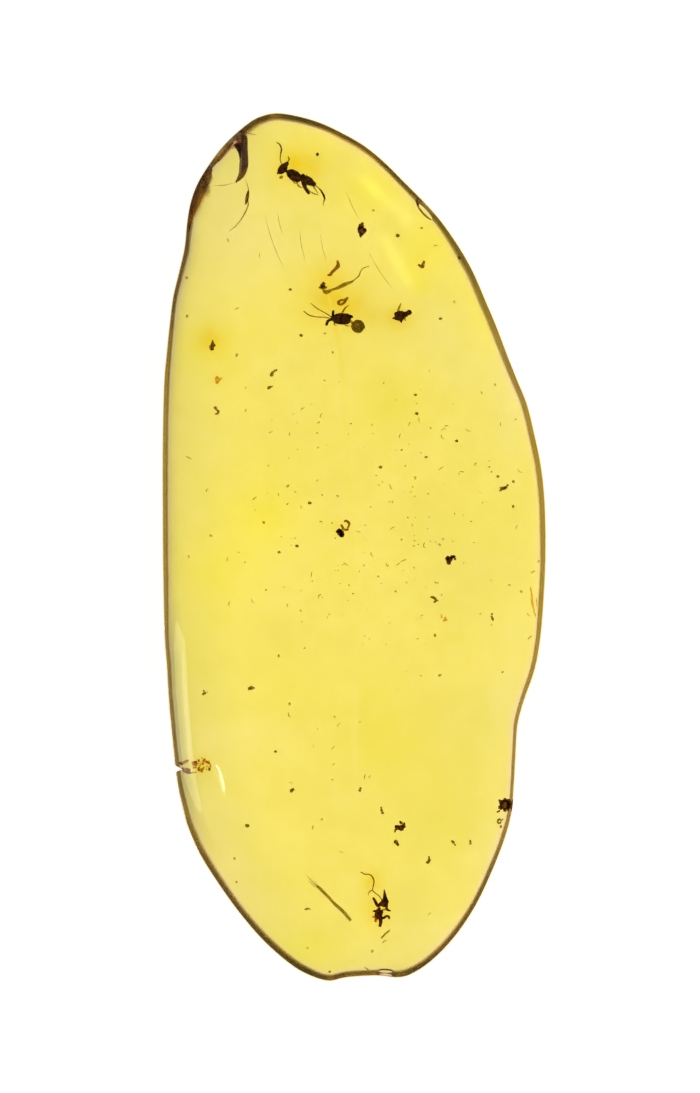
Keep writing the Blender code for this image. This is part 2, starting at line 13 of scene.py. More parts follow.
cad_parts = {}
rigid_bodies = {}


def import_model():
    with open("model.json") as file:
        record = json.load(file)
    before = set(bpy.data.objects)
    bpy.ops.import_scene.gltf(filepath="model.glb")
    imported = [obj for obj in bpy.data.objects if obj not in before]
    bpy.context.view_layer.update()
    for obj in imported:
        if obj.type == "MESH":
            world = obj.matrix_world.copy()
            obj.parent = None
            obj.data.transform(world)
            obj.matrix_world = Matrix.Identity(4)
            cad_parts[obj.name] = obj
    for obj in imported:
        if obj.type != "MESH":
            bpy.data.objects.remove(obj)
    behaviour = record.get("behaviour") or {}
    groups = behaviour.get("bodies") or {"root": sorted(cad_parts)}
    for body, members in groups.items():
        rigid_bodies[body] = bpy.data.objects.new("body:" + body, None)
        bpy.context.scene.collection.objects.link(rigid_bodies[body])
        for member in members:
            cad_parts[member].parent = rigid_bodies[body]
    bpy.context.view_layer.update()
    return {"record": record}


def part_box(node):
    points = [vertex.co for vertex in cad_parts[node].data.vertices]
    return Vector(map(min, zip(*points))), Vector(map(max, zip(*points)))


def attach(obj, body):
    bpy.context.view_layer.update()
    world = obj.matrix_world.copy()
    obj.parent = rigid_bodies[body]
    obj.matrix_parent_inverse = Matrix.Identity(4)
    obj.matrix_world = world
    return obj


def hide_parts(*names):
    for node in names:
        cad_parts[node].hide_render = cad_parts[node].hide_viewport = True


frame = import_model()

MM = 0.001

# The photograph: its frame, and where the slab lies in it.
PHOTO_SIZE = (700, 1093)
SLAB_PIXELS = 868
SLAB_LENGTH = 44.0
PIXEL = SLAB_LENGTH / SLAB_PIXELS  # in mm
SLAB_CENTRE_PIXEL = (354.5, 547.0)

# The slab, in mm, as the solids have it.
OUTLINE = (
    (-3.95, 22.0), (-2.8, 21.83), (-1.65, 21.48), (-0.4, 20.88), (0.6, 20.28), (1.57, 19.47),
    (2.42, 18.62), (3.27, 17.77), (4.32, 16.62), (5.27, 15.27), (6.02, 13.95), (6.67, 12.45),
    (7.22, 11.15), (7.77, 9.7), (8.27, 8.45), (8.77, 7.2), (9.15, 5.65), (9.45, 4.2), (9.62, 2.8),
    (9.7, 1.1), (9.7, -0.65), (9.62, -2.4), (9.46, -4.45), (9.17, -6.15), (8.62, -7.75),
    (8.29, -9.0), (8.18, -10.6), (8.1, -12.0), (7.98, -13.4), (7.64, -14.75), (7.0, -16.4),
    (6.17, -18.15), (5.16, -19.67), (4.08, -20.83), (3.12, -21.53), (2.3, -21.82), (1.1, -21.73),
    (-0.4, -21.82), (-1.3, -22.0), (-2.25, -21.73), (-3.22, -21.18), (-4.55, -20.03), (-5.72, -18.7),
    (-6.82, -17.2), (-7.83, -15.6), (-8.43, -14.25), (-8.71, -13.25), (-9.02, -11.7),
    (-9.37, -8.4), (-9.52, -6.15), (-9.64, -4.45), (-9.71, -1.05), (-9.73, 1.6), (-9.73, 5.2),
    (-9.66, 8.25), (-9.52, 9.9), (-9.36, 11.45), (-9.2, 12.7), (-8.9, 13.95), (-8.62, 15.2), (-8.49, 16.5),
    (-8.3, 17.5), (-7.97, 18.4), (-7.44, 19.3), (-6.77, 20.2), (-6.12, 20.86), (-5.47, 21.42),
    (-4.85, 21.8),
)
THICKNESS = 5.4
CROWN_RISE = 0.55  # the middle above the shoulder
CROWN_REACH = 0.97  # how much of the way to the middle line the rings cover
SHOULDER_WIDTH = 2.2
# The bevel at the lower left: its width, the depth where it is steepest, its slope there and how that grows.
BEVEL_WIDTH = 1.15
BEVEL_STEEPEST = 0.95
BEVEL_SLOPE = 0.25
BEVEL_CURVE = 0.7
BEVEL_BEARINGS = (-171, -145, -130, -115)  # where the bevel begins, is full, fades and ends
LIP_RADIUS = 0.05  # the small rounding where the wall meets the upper face
ROUNDING_TURN = math.radians(80)  # how far the lower edge's rounding turns before it meets the wall
# The radius of that rounding, at bearings counted anticlockwise from +X.
ROUNDING_RADII = (
    (-180, 0.75), (-160, 0.75), (-135, 0.85), (-120, 0.95), (-108, 0.85), (-99, 0.9), (-94, 0.7),
    (-88, 0.6), (-84.5, 0.8), (-80, 0.75), (-67, 0.65), (-53, 0.55), (-29, 0.7), (-10, 0.8), (8, 0.9),
    (43, 0.9), (60, 1.1), (68, 1.1), (76, 0.85), (83, 0.75), (92, 0.75), (101, 0.88), (104.5, 1.1),
    (107, 0.7), (110.5, 0.7), (111.5, 1.2), (113.5, 1.9), (115, 1.8), (116.6, 1.1), (119, 0.85), (124, 0.6),
    (142, 0.8),
)
# The middle line towards which the rings close.
SPINE_LENGTH_SHARE = 0.6
SPINE_BEND = 0.008
# How finely the slab is divided.
SEGMENTS = 420
ROUNDING_STEPS = 14
SHOULDER_STEPS = 16
CROWN_STEPS = 26
LIP_STEPS = 4
SHARP_ANGLE = math.radians(28)

# Damage to the slab. Chips: the centre, half sizes and bearing of the oval that cuts each.
CHIPS = {
    "flake_scar_upper_left": ((-6.75, 20.15, -1.6), (2.9, 2.25, 1.95), 60),
    "chip_upper_right": ((3.57, 17.11, 0.0), (0.68, 0.29, 0.35), -47),
    "chip_lower_end": ((1.6, -21.62, 0.0), (0.5, 0.2, 0.42), 0),
    "dent_beside_notch": ((-7.08, -11.74, 5.086), (1.556, 0.55, 0.245), -73.7),
}
# The hooked groove in the underside: x, y and half width.
SCAR_GROOVE = (
    (-5.75, 21.6, 0.4), (-5.72, 21.1, 0.38), (-5.66, 20.48, 0.34), (-5.52, 19.87, 0.25), (-5.5, 19.36, 0.21),
    (-5.62, 18.91, 0.14), (-5.9, 18.53, 0.03),
)
SCAR_GROOVE_STEEPNESS = 1.5  # its depth for each half width
SCAR_EDGE_WIDTH = 0.26  # the bevel left along the outline where the scar runs out through it
# The notch in the left edge, cut from below the slab to above it.
NOTCH_TIP = (-8.72, -11.27)
NOTCH_MOUTH = (-9.6, -11.2)
NOTCH_HALF_WIDTH = 0.42
NOTCH_CUT = (-1, 8)

# Light lost per mm of amber, for red, green and blue.
ABSORPTION = (0.005, 0.015, 0.12)
AMBER_TINT = (0.93, 0.862, 0.48)
IOR = 1.54
SEALED_IOR = 1.03  # of crumbs and films in the amber, against it
# The underside turns matt between the first two slopes, in degrees, and is polished again towards the last.
EDGE_ROUGHNESS = 0.35
FINE_BUMP = 0.00001  # on cuticle and crumbs, in metres
MATT_SLOPES = (32, 40)
POLISHED_SLOPES = (84, 80)
# How golden and how dull the amber is where no cloud lies.
BASE_GOLD = 0.45
BASE_DULL = 0.6
# The shadow along the left edge, the depth over which it fades, and the shadow in the bevel.
LEFT_SHADOW = 0.46
LEFT_SHADOW_WIDTH = 0.38
BEVEL_SHADOW = 0.2
# The share of red, green and blue that each influence takes away at full strength. A minus sign adds to it.
TINT_LOSSES = {
    "golden": (0, 0, 0.62),
    "dull": (0.05, 0.05, 0.1),
    "glow": (0.04, 0.17, 0.78),
    "shadow": (1, 0.95, 0.6),
    # painted shade colour at the rim: less green and more blue near the edge
    "rim": (0, 0.15, -1.2),
    # painted highlight streaks: lighter in all three colours
    "streak": (-0.12, -0.16, -0.2),
}

# Where the amber differs in colour: the middle of each cloud, its half sizes and its strength.
GOLDEN_CLOUDS = (
    (-7.1, -1.4, 2.3, 2.5, 0.38), (-4.5, 1.4, 1.8, 1.5, 0.42), (-7.1, 10.2, 2.0, 1.5, 0.3),
    (2.3, 7.4, 2.0, 1.8, 0.28), (-2.3, 20.1, 1.8, 1.3, 0.3), (0.8, 18.1, 1.8, 1.5, 0.4),
    (3.6, 15.3, 1.5, 2.0, 0.4), (6.4, 11.5, 1.3, 2.0, 0.3), (-2.8, -7.3, 3.0, 2.0, 0.18),
    (1.6, -9.8, 2.5, 2.5, 0.25), (4.3, -13.8, 2.0, 2.0, 0.12), (-2.3, -20.4, 1.8, 1.0, 0.42),
    # The last two clouds on the next line are painted golden shade beside the second painted highlight
    # streak.
    (-4.3, 2.9, 3.0, 2.0, 0.15), (2.8, 14.0, 0.5, 0.6, 0.2), (3.3, 13.2, 0.5, 0.7, 0.35),
)
PALE_CLOUDS = (
    (-5.8, 16.1, 2.5, 3.0, 0.4), (-2.8, 15.6, 2.5, 2.0, 0.22), (4.8, 10.0, 3.0, 2.5, 0.3),
    (7.9, 7.5, 1.0, 3.0, 0.4), (-5.8, -9.8, 3.0, 1.3, 0.2), (7.9, -7.8, 1.3, 4.0, 0.35),
    (7.4, -15.9, 1.5, 3.0, 0.3), (4.8, -19.9, 2.5, 1.5, 0.3), (-6.8, -14.3, 1.5, 2.5, 0.25),
    (-5.8, -17.4, 1.5, 1.5, 0.2),
)
BRIGHT_CLOUDS = (
    (-6.3, -0.7, 3.0, 4.0, 0.7), (-1.8, -0.7, 4.0, 3.0, 0.5), (-5.8, -9.8, 3.0, 1.3, 0.7),
    (2.3, -5.7, 4.0, 2.0, 0.25), (7.9, -4.7, 1.5, 3.0, 0.4),
)
DULL_CLOUDS = (
    (2.3, 7.4, 2.0, 1.8, 0.5), (1.6, -9.8, 2.5, 2.5, 0.5), (4.3, -13.8, 2.5, 2.0, 0.7),
    (5.8, -8.8, 2.5, 2.5, 0.5), (4.3, 1.4, 3.0, 2.0, 0.3), (5.8, -1.7, 2.0, 2.0, 0.4),
)
# Painted highlight streaks, lighter lines in the amber's tint: their ends, half width and strength.
PAINTED_HIGHLIGHT_STREAKS = (
    (0.4, 18.6, 2.6, 16.6, 0.28, 0.8), (0.7, 18.3, 1.1, 17.95, 0.25, 0.4),
    (1.5, 15.6, 2.65, 13.5, 0.3, 0.9),
)
# The orange glow round the insects and some of the debris.
GLOWS = (
    (-2.76, 19.2, 1.35, 1.0, 0.7), (-3.27, 19.6, 0.7, 0.6, 0.3), (-1.0, 12.3, 1.7, 1.3, 0.6),
    (-1.34, 13.6, 0.9, 1.0, 0.45), (0.28, 11.6, 0.9, 0.8, 0.3), (2.2, 11.6, 0.85, 0.7, 0.6),
    (0.9, -16.9, 0.5, 0.6, 0.7), (1.15, -18.4, 0.75, 0.9, 0.6), (-7.2, 10.5, 0.9, 0.8, 0.6),
    (-7.7, -11.1, 0.5, 0.45, 0.6), (-6.9, 8.5, 0.4, 0.35, 0.4), (-0.75, 0.95, 0.5, 0.5, 0.4),
)

# Fine cracks inside the slab: width, height and level of the sheet, and its points seen from above.
CRACKS = {
    "below_scar": (0.07, 0.5, 3.6, (
        (-5.5, 18.7), (-5.38, 18.25), (-5.35, 17.94), (-5.39, 17.59), (-5.38, 17.29), (-5.65, 16.73),
        (-6.01, 16.27), (-6.36, 16.02),
    )),
    "below_scar_wedge": (0.15, 0.3, 3.6, ((-5.36, 18.1), (-5.42, 17.74), (-5.5, 17.35))),
    "below_scar_bit": (0.06, 0.2, 3.6, ((-6.41, 15.66), (-6.36, 15.46))),
    "beside_scar": (0.05, 0.3, 3.4, ((-5.45, 21.0), (-4.94, 20.88))),
    "scar_tip": (0.03, 0.2, 1.2, ((-5.95, 18.5), (-6.51, 18.36), (-7.07, 18.35))),
    "notch_upper": (0.2, 0.1, 2.8, ((-8.87, -10.96), (-8.69, -11.0), (-8.49, -10.92), (-8.24, -10.81))),
    "notch_lower": (0.24, 0.1, 2.8, ((-8.7, -11.24), (-8.49, -11.32), (-8.31, -11.35), (-8.17, -11.28))),
    "notch_lowest": (0.08, 0.08, 2.8, ((-8.64, -11.38), (-8.34, -11.47), (-7.93, -11.42))),
    "chip_upper_end": (0.16, 0.1, 1.2, ((3.09, 17.69), (3.15, 17.49), (3.18, 17.26))),
    "lower_end": (0.06, 0.3, 2.6, ((0.46, -21.29), (0.84, -21.55))),
}
BROWN_CRACKS = ("chip_upper_end", "below_scar_wedge")
RUSTY_CRACKS = ("notch_upper", "notch_lower", "notch_lowest")
# Brown sheets of painted shade over the hooked groove and the broken upper left edge: the level, and x, y and
# half width.
SHADE_FILMS = {
    "groove": (0.75, (
        (-5.62, 21.25, 0.18), (-5.7, 20.95, 0.31), (-5.66, 20.48, 0.33), (-5.52, 19.87, 0.24),
        (-5.5, 19.36, 0.2),
        (-5.62, 18.91, 0.13), (-5.9, 18.53, 0.03),
    )),
    "corner": (2.0, (
        (-7.28, 19.36, 0.08), (-7.38, 19.11, 0.2), (-7.6, 18.6, 0.3), (-7.82, 18.1, 0.31),
        (-7.99, 17.59, 0.27),
        (-8.19, 17.08, 0.2), (-8.32, 16.58, 0.12), (-8.4, 16.07, 0.03),
    )),
    "broken_edge": (1.2, (
        (-7.08, 19.52, 0.05), (-6.78, 19.82, 0.13), (-6.38, 20.26, 0.14), (-6.03, 20.61, 0.13),
        (-5.85, 20.78, 0.05),
    )),
    "edge_end": (1.2, ((-6.2, 20.25, 0.04), (-5.97, 20.4, 0.14), (-5.75, 20.42, 0.17), (-5.6, 20.5, 0.05))),
    "fork": (0.95, (
        (-6.12, 20.47, 0.04), (-5.95, 20.42, 0.13), (-5.8, 20.25, 0.15), (-5.72, 20.0, 0.08),
        (-5.68, 19.7, 0.03),
    )),
    "groove_core": (1.05, (
        (-5.68, 20.85, 0.1), (-5.64, 20.48, 0.2), (-5.5, 19.87, 0.14), (-5.48, 19.36, 0.12),
        (-5.6, 18.95, 0.06),
    )),
}
# The darkest sheet of painted shade.
DARKEST_SHADE_FILMS = ("fork",)
SHADE_FILM_THICKNESS = 0.02
# Hair-thin flow lines and scratches.
SCRATCHES = (
    ((-4.54, 16.83), (-3.52, 14.04)), ((-3.88, 16.98), (-3.62, 15.82)), ((-2.76, 16.07), (-2.46, 14.45)),
    ((-1.75, 15.82), (-1.44, 14.45)), ((0.68, 14.95), (1.95, 13.0)), ((-0.43, 18.05), (0.2, 16.6)),
)

# Fine dust, at these places seen from above.
DUST = (
    (3.32, 16.15), (4.07, 15.23), (0.89, 17.08), (4.94, 12.43), (-8.49, 13.65), (-8.42, 11.72),
    (-5.91, 12.08), (-5.91, 9.78), (-1.09, 9.92), (-1.48, 10.86), (-4.74, 14.8), (-5.48, 6.94),
    (-2.58, 6.98), (-1.64, 6.68), (-4.22, 5.81), (-3.19, 5.74), (3.18, 6.44), (2.71, 6.23), (4.58, 6.11),
    (4.47, 5.92), (4.41, 5.59), (6.39, 7.84), (7.04, 8.21), (8.13, 6.46), (7.36, 6.23), (5.72, 5.95),
    (2.23, 5.64), (2.36, 4.92), (3.59, 4.56), (5.37, 3.81), (6.12, 4.19), (1.81, 3.05), (8.36, 3.87),
    (8.16, 1.01), (1.88, 0.96), (2.33, 0.39), (3.52, 0.08), (4.23, 0.12), (0.19, 0.78), (-8.3, 4.56),
    (-7.43, 2.87), (-3.32, 3.11), (-5.03, 2.45), (-3.74, 2.68), (-2.65, 2.05), (-1.67, 1.29), (-0.83, 2.59),
    (-4.55, 1.25), (-7.26, 0.57), (-8.3, -0.49), (-6.39, -0.61), (-2.15, -1.4), (-4.45, -2.18),
    (-1.72, -2.5), (-6.29, -2.89), (-5.06, -2.71), (-3.32, -2.95), (-0.44, -0.85), (-2.67, -3.24),
    (3.34, -3.48), (9.02, -1.27), (9.32, -0.73), (8.34, -2.26), (7.8, -1.93), (2.18, -0.87), (1.65, -0.89),
    (2.43, -0.69), (0.9, -0.38), (4.1, -1.77), (4.0, -4.48), (2.04, -2.25), (8.76, -3.43), (-3.79, -5.53),
    (-2.5, -5.13), (-3.25, -7.96), (-3.22, -8.53), (-1.05, -10.22), (-0.78, -9.02), (-3.19, -11.93),
    (-1.57, -13.84), (-2.05, -14.21), (-0.62, -15.41), (7.45, -6.33), (8.87, -4.6), (4.28, -6.5),
    (0.48, -11.69), (0.72, -11.67), (-5.99, -15.79), (-5.91, -16.98), (-2.31, -20.29), (0.91, -20.43),
    (1.56, -20.0), (3.79, -18.61), (3.8, 6.03), (4.35, 3.99), (3.04, 3.5),
)
# Finer specks, scattered round a middle and kept within a box.
SPECK_COUNT = 190
SPECK_MIDDLE = (1.5, 1.5)
SPECK_SPREAD = (4.2, 5.5)
SPECK_HALF_WIDTH = 7
SPECK_REACH = (-14, 9)

# Debris made of overlapping lumps: x, y and radius of each lump, in mm.
LUMPS = {
    "bark_crumb_upper": ((0.3, 16.04, 0.188), (0.28, 16.25, 0.122), (0.34, 16.39, 0.056),
        (0.46, 16.05, 0.081), (0.25, 15.83, 0.101), (0.24, 15.71, 0.046), (0.16, 16.12, 0.076)),
    "flake_three_cornered": ((-1.57, 13.31, 0.101), (-1.54, 13.42, 0.051), (-1.67, 13.19, 0.076),
        (-1.45, 13.18, 0.061), (-1.57, 13.21, 0.096)),
    "crumb_upper_left": ((-7.17, 10.49, 0.035), (-7.16, 10.38, 0.071), (-7.16, 10.25, 0.106),
        (-7.21, 10.14, 0.112), (-7.22, 10.04, 0.061), (-7.06, 10.25, 0.051)),
    "orange_crumb_left": ((-6.92, 8.49, 0.117), (-6.94, 8.62, 0.066), (-6.94, 8.36, 0.071),
        (-6.79, 8.53, 0.066), (-6.7, 8.58, 0.035)),
    "grain_centre_left_upper": ((-3.89, 8.99, 0.046), (-3.98, 8.96, 0.056), (-4.08, 8.86, 0.076),
        (-4.13, 8.74, 0.086)),
    "grain_centre_left_lower": ((-4.09, 8.17, 0.035), (-4.18, 8.15, 0.056), (-4.26, 8.11, 0.071),
        (-4.29, 8.06, 0.051)),
    "granule_beside_ring": ((-0.69, 0.72, 0.167), (-0.75, 0.82, 0.112), (-0.62, 0.63, 0.106),
        (-0.86, 0.77, 0.061), (-0.68, 0.58, 0.071)),
    "bark_crumb_low": ((2.1, -14.24, 0.122), (2.04, -14.18, 0.071), (2.28, -14.26, 0.137),
        (2.41, -14.16, 0.101), (2.44, -14.04, 0.056), (2.29, -14, 0.071), (2.24, -13.94, 0.041),
        (1.99, -14.37, 0.051), (1.97, -14.45, 0.041)),
    "crumb_under_low_bark": ((2.03, -14.95, 0.091), (2.1, -15.06, 0.081), (2.14, -15.12, 0.046),
        (1.97, -14.99, 0.046)),
    "bark_cluster_at_edge": ((7.6, -13.1, 0.238), (7.38, -12.98, 0.127), (7.34, -13.23, 0.106),
        (7.8, -12.95, 0.132), (7.82, -13.18, 0.132), (7.58, -12.87, 0.101), (7.6, -13.37, 0.096),
        (7.27, -12.87, 0.051), (7.78, -13.36, 0.066), (7.26, -13.41, 0.051), (7.17, -13.45, 0.046)),
    "grain_under_cluster": ((7.3, -13.83, 0.051), (7.39, -13.9, 0.051), (7.36, -14.01, 0.051),
        (7.26, -14.03, 0.051), (7.2, -13.96, 0.051), (7.22, -13.87, 0.051), (7.39, -14.21, 0.061),
        (7.48, -13.85, 0.035)),
    "crumb_right_edge": ((7.37, 2.87, 0.056), (7.42, 2.98, 0.076), (7.53, 2.98, 0.081), (7.62, 3.02, 0.066),
        (7.7, 3.13, 0.051)),
    "bark_crumb_right": ((4.74, -0.62, 0.142), (4.67, -0.55, 0.091), (4.72, -0.79, 0.091),
        (4.87, -0.52, 0.096), (4.98, -0.49, 0.081), (5.04, -0.61, 0.056)),
    "crumb_right_of_centre": ((3.84, -2.55, 0.051), (3.94, -2.58, 0.071), (4.03, -2.65, 0.076),
        (4.07, -2.73, 0.061), (3.99, -2.79, 0.051), (4.16, -2.72, 0.035)),
    "orange_crumb_right": ((4.36, -3.46, 0.046), (4.37, -3.56, 0.051), (4.54, -3.6, 0.056),
        (4.57, -3.7, 0.071), (4.47, -3.73, 0.051)),
    "grain_right_low": ((6.94, -3.4, 0.046), (6.92, -3.54, 0.056), (6.96, -3.64, 0.061),
                        (6.99, -3.71, 0.041)),
    "crumb_low_right": ((3.71, -15.74, 0.046), (3.73, -15.87, 0.071), (3.69, -15.99, 0.076),
        (3.6, -16.01, 0.046)),
    "crumb_low_right_upper": ((4.91, -14.93, 0.051), (4.98, -15, 0.066), (5.06, -15.12, 0.046)),
    "grain_low_right": ((5.79, -14.93, 0.051), (5.79, -15.05, 0.056)),
    "grain_above_low_crumb": ((1.29, -13.23, 0.046), (1.31, -13.36, 0.066), (1.36, -13.5, 0.056)),
    "grain_lower_centre": ((0.28, -12.27, 0.051), (0.24, -12.38, 0.056)),
    "grain_lower_left_edge": ((-7.63, -7.31, 0.041), (-7.57, -7.42, 0.066), (-7.66, -7.48, 0.056),
        (-7.44, -7.38, 0.025)),
    "crumb_lower_middle": ((-3.14, -12.37, 0.076), (-3.05, -12.3, 0.071)),
    "crumb_lower_left": ((-5.16, -7.16, 0.096), (-5.27, -7.2, 0.071), (-5.03, -7.17, 0.041)),
}
# Debris made of strands: the x, y and radius of each strand's stations, in mm.
STRANDS = {
    "curved_fragment": (((-0.94, 14.51, 0.046), (-0.9, 14.36, 0.076), (-0.91, 14.22, 0.101),
        (-1.04, 14.08, 0.086), (-1.17, 13.95, 0.076), (-1.27, 13.82, 0.076), (-1.42, 13.78, 0.041)),),
    "knobbed_stem_with_thread": (
        ((-1.57, 13.11, 0.041), (-1.5, 13, 0.081), (-1.38, 12.95, 0.106), (-1.24, 13.03, 0.071),
        (-1.04, 13.1, 0.061), (-0.84, 13.17, 0.086), (-0.63, 13.28, 0.096), (-0.43, 13.36, 0.081),
        (-0.19, 13.44, 0.051)),
        ((-0.23, 13.43, 0.041), (-0.05, 13.57, 0.03), (0.14, 13.74, 0.033), (0.23, 13.97, 0.03),
        (0.34, 14.1, 0.025), (0.48, 14.17, 0.023), (0.66, 14.22, 0.018)),
    ),
    "bent_loop": (((-0.39, 12.66, 0.051), (-0.5, 12.54, 0.081), (-0.59, 12.39, 0.071),
        (-0.72, 12.31, 0.061), (-0.85, 12.35, 0.071), (-0.82, 12.47, 0.071), (-0.69, 12.53, 0.051),
        (-0.61, 12.56, 0.041)),),
    "v_shaped_bit": (((3.17, 14.33, 0.051), (3.28, 14.26, 0.071), (3.41, 14.2, 0.076), (3.42, 14.32, 0.076),
        (3.47, 14.5, 0.056)),),
    "s_shaped_bit": (((-7.06, 7.14, 0.061), (-7.01, 7.07, 0.076), (-6.95, 6.98, 0.046), (-6.87, 6.9, 0.066),
        (-6.91, 6.8, 0.061), (-7.04, 6.75, 0.03)),),
    "ring_shaped_bit": (
        ((-0.52, 1.31, 0.046), (-0.39, 1.32, 0.066), (-0.28, 1.22, 0.066), (-0.28, 1.07, 0.056),
        (-0.36, 0.95, 0.046)),
        ((-0.67, 1.15, 0.046), (-0.6, 1.02, 0.056), (-0.53, 0.9, 0.066), (-0.41, 0.88, 0.066),
        (-0.28, 0.9, 0.035)),
    ),
    "thin_flake_at_edge": (
        ((8.87, -2.03, 0.03), (8.93, -2.38, 0.051), (8.96, -2.69, 0.071), (9, -2.94, 0.071),
        (9.08, -3.24, 0.056), (9.17, -3.57, 0.025)),
        ((9.22, -2.59, 0.03), (9.24, -3.04, 0.03)),
    ),
    "plant_rod": (
        ((-1.86, -17.21, 0.061), (-1.72, -17.28, 0.081), (-1.44, -17.56, 0.076), (-1.04, -18, 0.076),
        (-0.63, -18.43, 0.081), (-0.35, -18.76, 0.086), (-0.19, -18.93, 0.066)),
        ((-2.33, -16.68, 0.013), (-2.08, -16.96, 0.018), (-1.85, -17.21, 0.023)),
        ((-2.28, -16.93, 0.013), (-2.15, -17.03, 0.015), (-1.93, -17.23, 0.018)),
        ((-1.98, -16.88, 0.013), (-1.9, -17.03, 0.015), (-1.77, -17.23, 0.02)),
    ),
    "splinter_right": (((1.36, -19.83, 0.03), (1.5, -19.67, 0.046), (1.67, -19.52, 0.041),
        (1.79, -19.41, 0.025)),),
    "splinter_left": (((-2.49, -18.41, 0.03), (-2.34, -18.34, 0.051), (-2.17, -18.37, 0.03)),),
}

# Loose grains that have no solid of their own: x, y and radius.
SPARE_GRAINS = ((5.3, 14.7, 0.086), (-1.93, 19.87, 0.061), (-1.26, -21.54, 0.061), (7.98, 3.32, 0.066))
DARK_GRAINS = (
    "bark_crumb_upper", "granule_beside_ring", "bark_crumb_low", "bark_cluster_at_edge", "bark_crumb_right",
)
BROWN_STRANDS = ("curved_fragment", "bent_loop", "ring_shaped_bit", "s_shaped_bit", "v_shaped_bit")
CLUSTER_GRAINS = 60
CLUSTER_CENTRE = (-7.7, -11.06)
CLUSTER_HALF_SIZE = (0.38, 0.36)
CLUSTER_DARK_GRAINS = (
    (-7.44, -11.28, 0.095), (-7.52, -11.3, 0.07), (-7.6, -10.83, 0.05), (-7.87, -10.87, 0.045),
    (-7.88, -11.33, 0.05),
)

# How bright the table is, and the room from its walls to its ceiling, and how steeply up the ceiling begins.
TABLE_GLOW = 0.85
ROOM_COLOUR = (1.0, 0.86, 0.88, 1)
WALLS_TO_CEILING = (0.31, 0.03)
CEILING_EDGE = (0.93, 0.975)
# Lamps at the left, mirrored in the bevel and in the dent beside the notch: place, target, size, the way in x
# and y along which the first side runs, radiance and colour.
LAMPS = {
    "bevel_softbox": ((-195, -46, 400), (-8.7, -9, 4.8), (90, 78), (0, 1), 2.4, (1, 0.97, 0.7)),
    "bevel_strip": ((-256, -46, 400), (-8.7, -9, 4.8), (90, 33), (0, 1), 3.9, (1, 0.97, 0.75)),
    "dent_softbox": ((-340, -118, 400), (-6.8, -11.7, 4.9), (178, 145), (-0.28, 0.96), 14.0, (1, 1, 0.75)),
}
LENS = 200
SENSOR_HEIGHT = 36
RIM_HEIGHT = 4.5  # of the slab's edge, which the photograph's scale is taken at


# Mesh helpers


def make_object(bm, name, materials):
    mesh = bpy.data.meshes.new(name)
    bm.to_mesh(mesh)
    bm.free()
    for material in materials:
        mesh.materials.append(material)
    item = bpy.data.objects.new(name, mesh)
    bpy.context.scene.collection.objects.link(item)
    return item


def dress(item, nodes):
    """The item is part of the object: it rides on the body and stands for the CAD nodes."""
    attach(item, "root")
    if nodes:
        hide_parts(*nodes)


def curve_through(points, steps):
    """Points along a smooth open curve through the given ones, each a vector of any length."""
    points = [np.array(point, dtype=float) for point in points]
    padded = [2 * points[0] - points[1]] + points + [2 * points[-1] - points[-2]]
    curve = []
    for before, here, after, beyond in zip(padded, padded[1:], padded[2:], padded[3:]):
        for step in range(steps):
            t = step / steps
            curve.append(
                here
                + 0.5 * t * (after - before)
                + t * t * (before - 2.5 * here + 2 * after - 0.5 * beyond)
                + t**3 * (1.5 * (here - after) + 0.5 * (beyond - before))
            )
    curve.append(points[-1])
    return [tuple(float(number) for number in point) for point in curve]


def tube(bm, stations, place=(0, 0, 0), sides=8, steps=5, group=0, frayed=0.0):
    """A closed tube through stations of x, y, z and radius, in mm. A frayed one has an uneven surface."""
    curve = curve_through(stations, steps)
    centres = [Vector(point[:3]) + Vector(place) for point in curve]
    loops = []
    for i, (centre, point) in enumerate(zip(centres, curve)):
        along = (centres[min(i + 1, len(centres) - 1)] - centres[max(i - 1, 0)]).normalized()
        across = along.cross((0, 0, 1)).normalized() if abs(along.z) < 0.95 else Vector((1, 0, 0))
        up = across.cross(along)
        radius = max(point[3], 0.004)
        loop = []
        for side in range(sides):
            turn = side / sides * math.tau
            spot = centre + radius * (math.cos(turn) * across + math.sin(turn) * up)
            spot += (spot - centre) * frayed * noise.noise(spot * 14)
            loop.append(bm.verts.new(spot * MM))
        loops.append(loop)
    close_loops(bm, loops, group)


def close_loops(bm, loops, group):
    count = len(loops[0])
    faces = []
    for lower, upper in zip(loops, loops[1:]):
        for i in range(count):
            j = (i + 1) % count
            faces.append(bm.faces.new((lower[i], lower[j], upper[j], upper[i])))
    faces.append(bm.faces.new(loops[0][::-1]))
    faces.append(bm.faces.new(loops[-1]))
    for face in faces:
        face.material_index = group
        face.smooth = True
    bmesh.ops.recalc_face_normals(bm, faces=faces)


def ball(bm, centre, size, bearing=0, place=(0, 0, 0), rings=0, bumps=0.05, seed=0.0, group=0, detail=4):
    """A body segment: an uneven ball, with shallow rings round its length if asked."""
    made = bmesh.ops.create_icosphere(bm, subdivisions=detail, radius=1)["verts"]
    half = Vector(size) / 2
    turn = Matrix.Rotation(math.radians(bearing), 3, "Z")
    for vert in made:
        unit = vert.co.copy()
        swell = 1 + bumps * noise.noise(unit * 2.3 + Vector((seed, 7, 3)))
        swell += 0.3 * bumps * noise.noise(unit * 9 + Vector((3, seed, 5)))
        if rings:
            swell -= 0.07 * (0.5 + 0.5 * math.cos(math.pi * rings * (unit.x + 1))) ** 8
        spot = Vector(unit[i] * half[i] for i in range(3)) * swell
        vert.co = (turn @ spot + Vector(centre) + Vector(place)) * MM
    for face in {face for vert in made for face in vert.link_faces}:
        face.material_index = group
        face.smooth = True


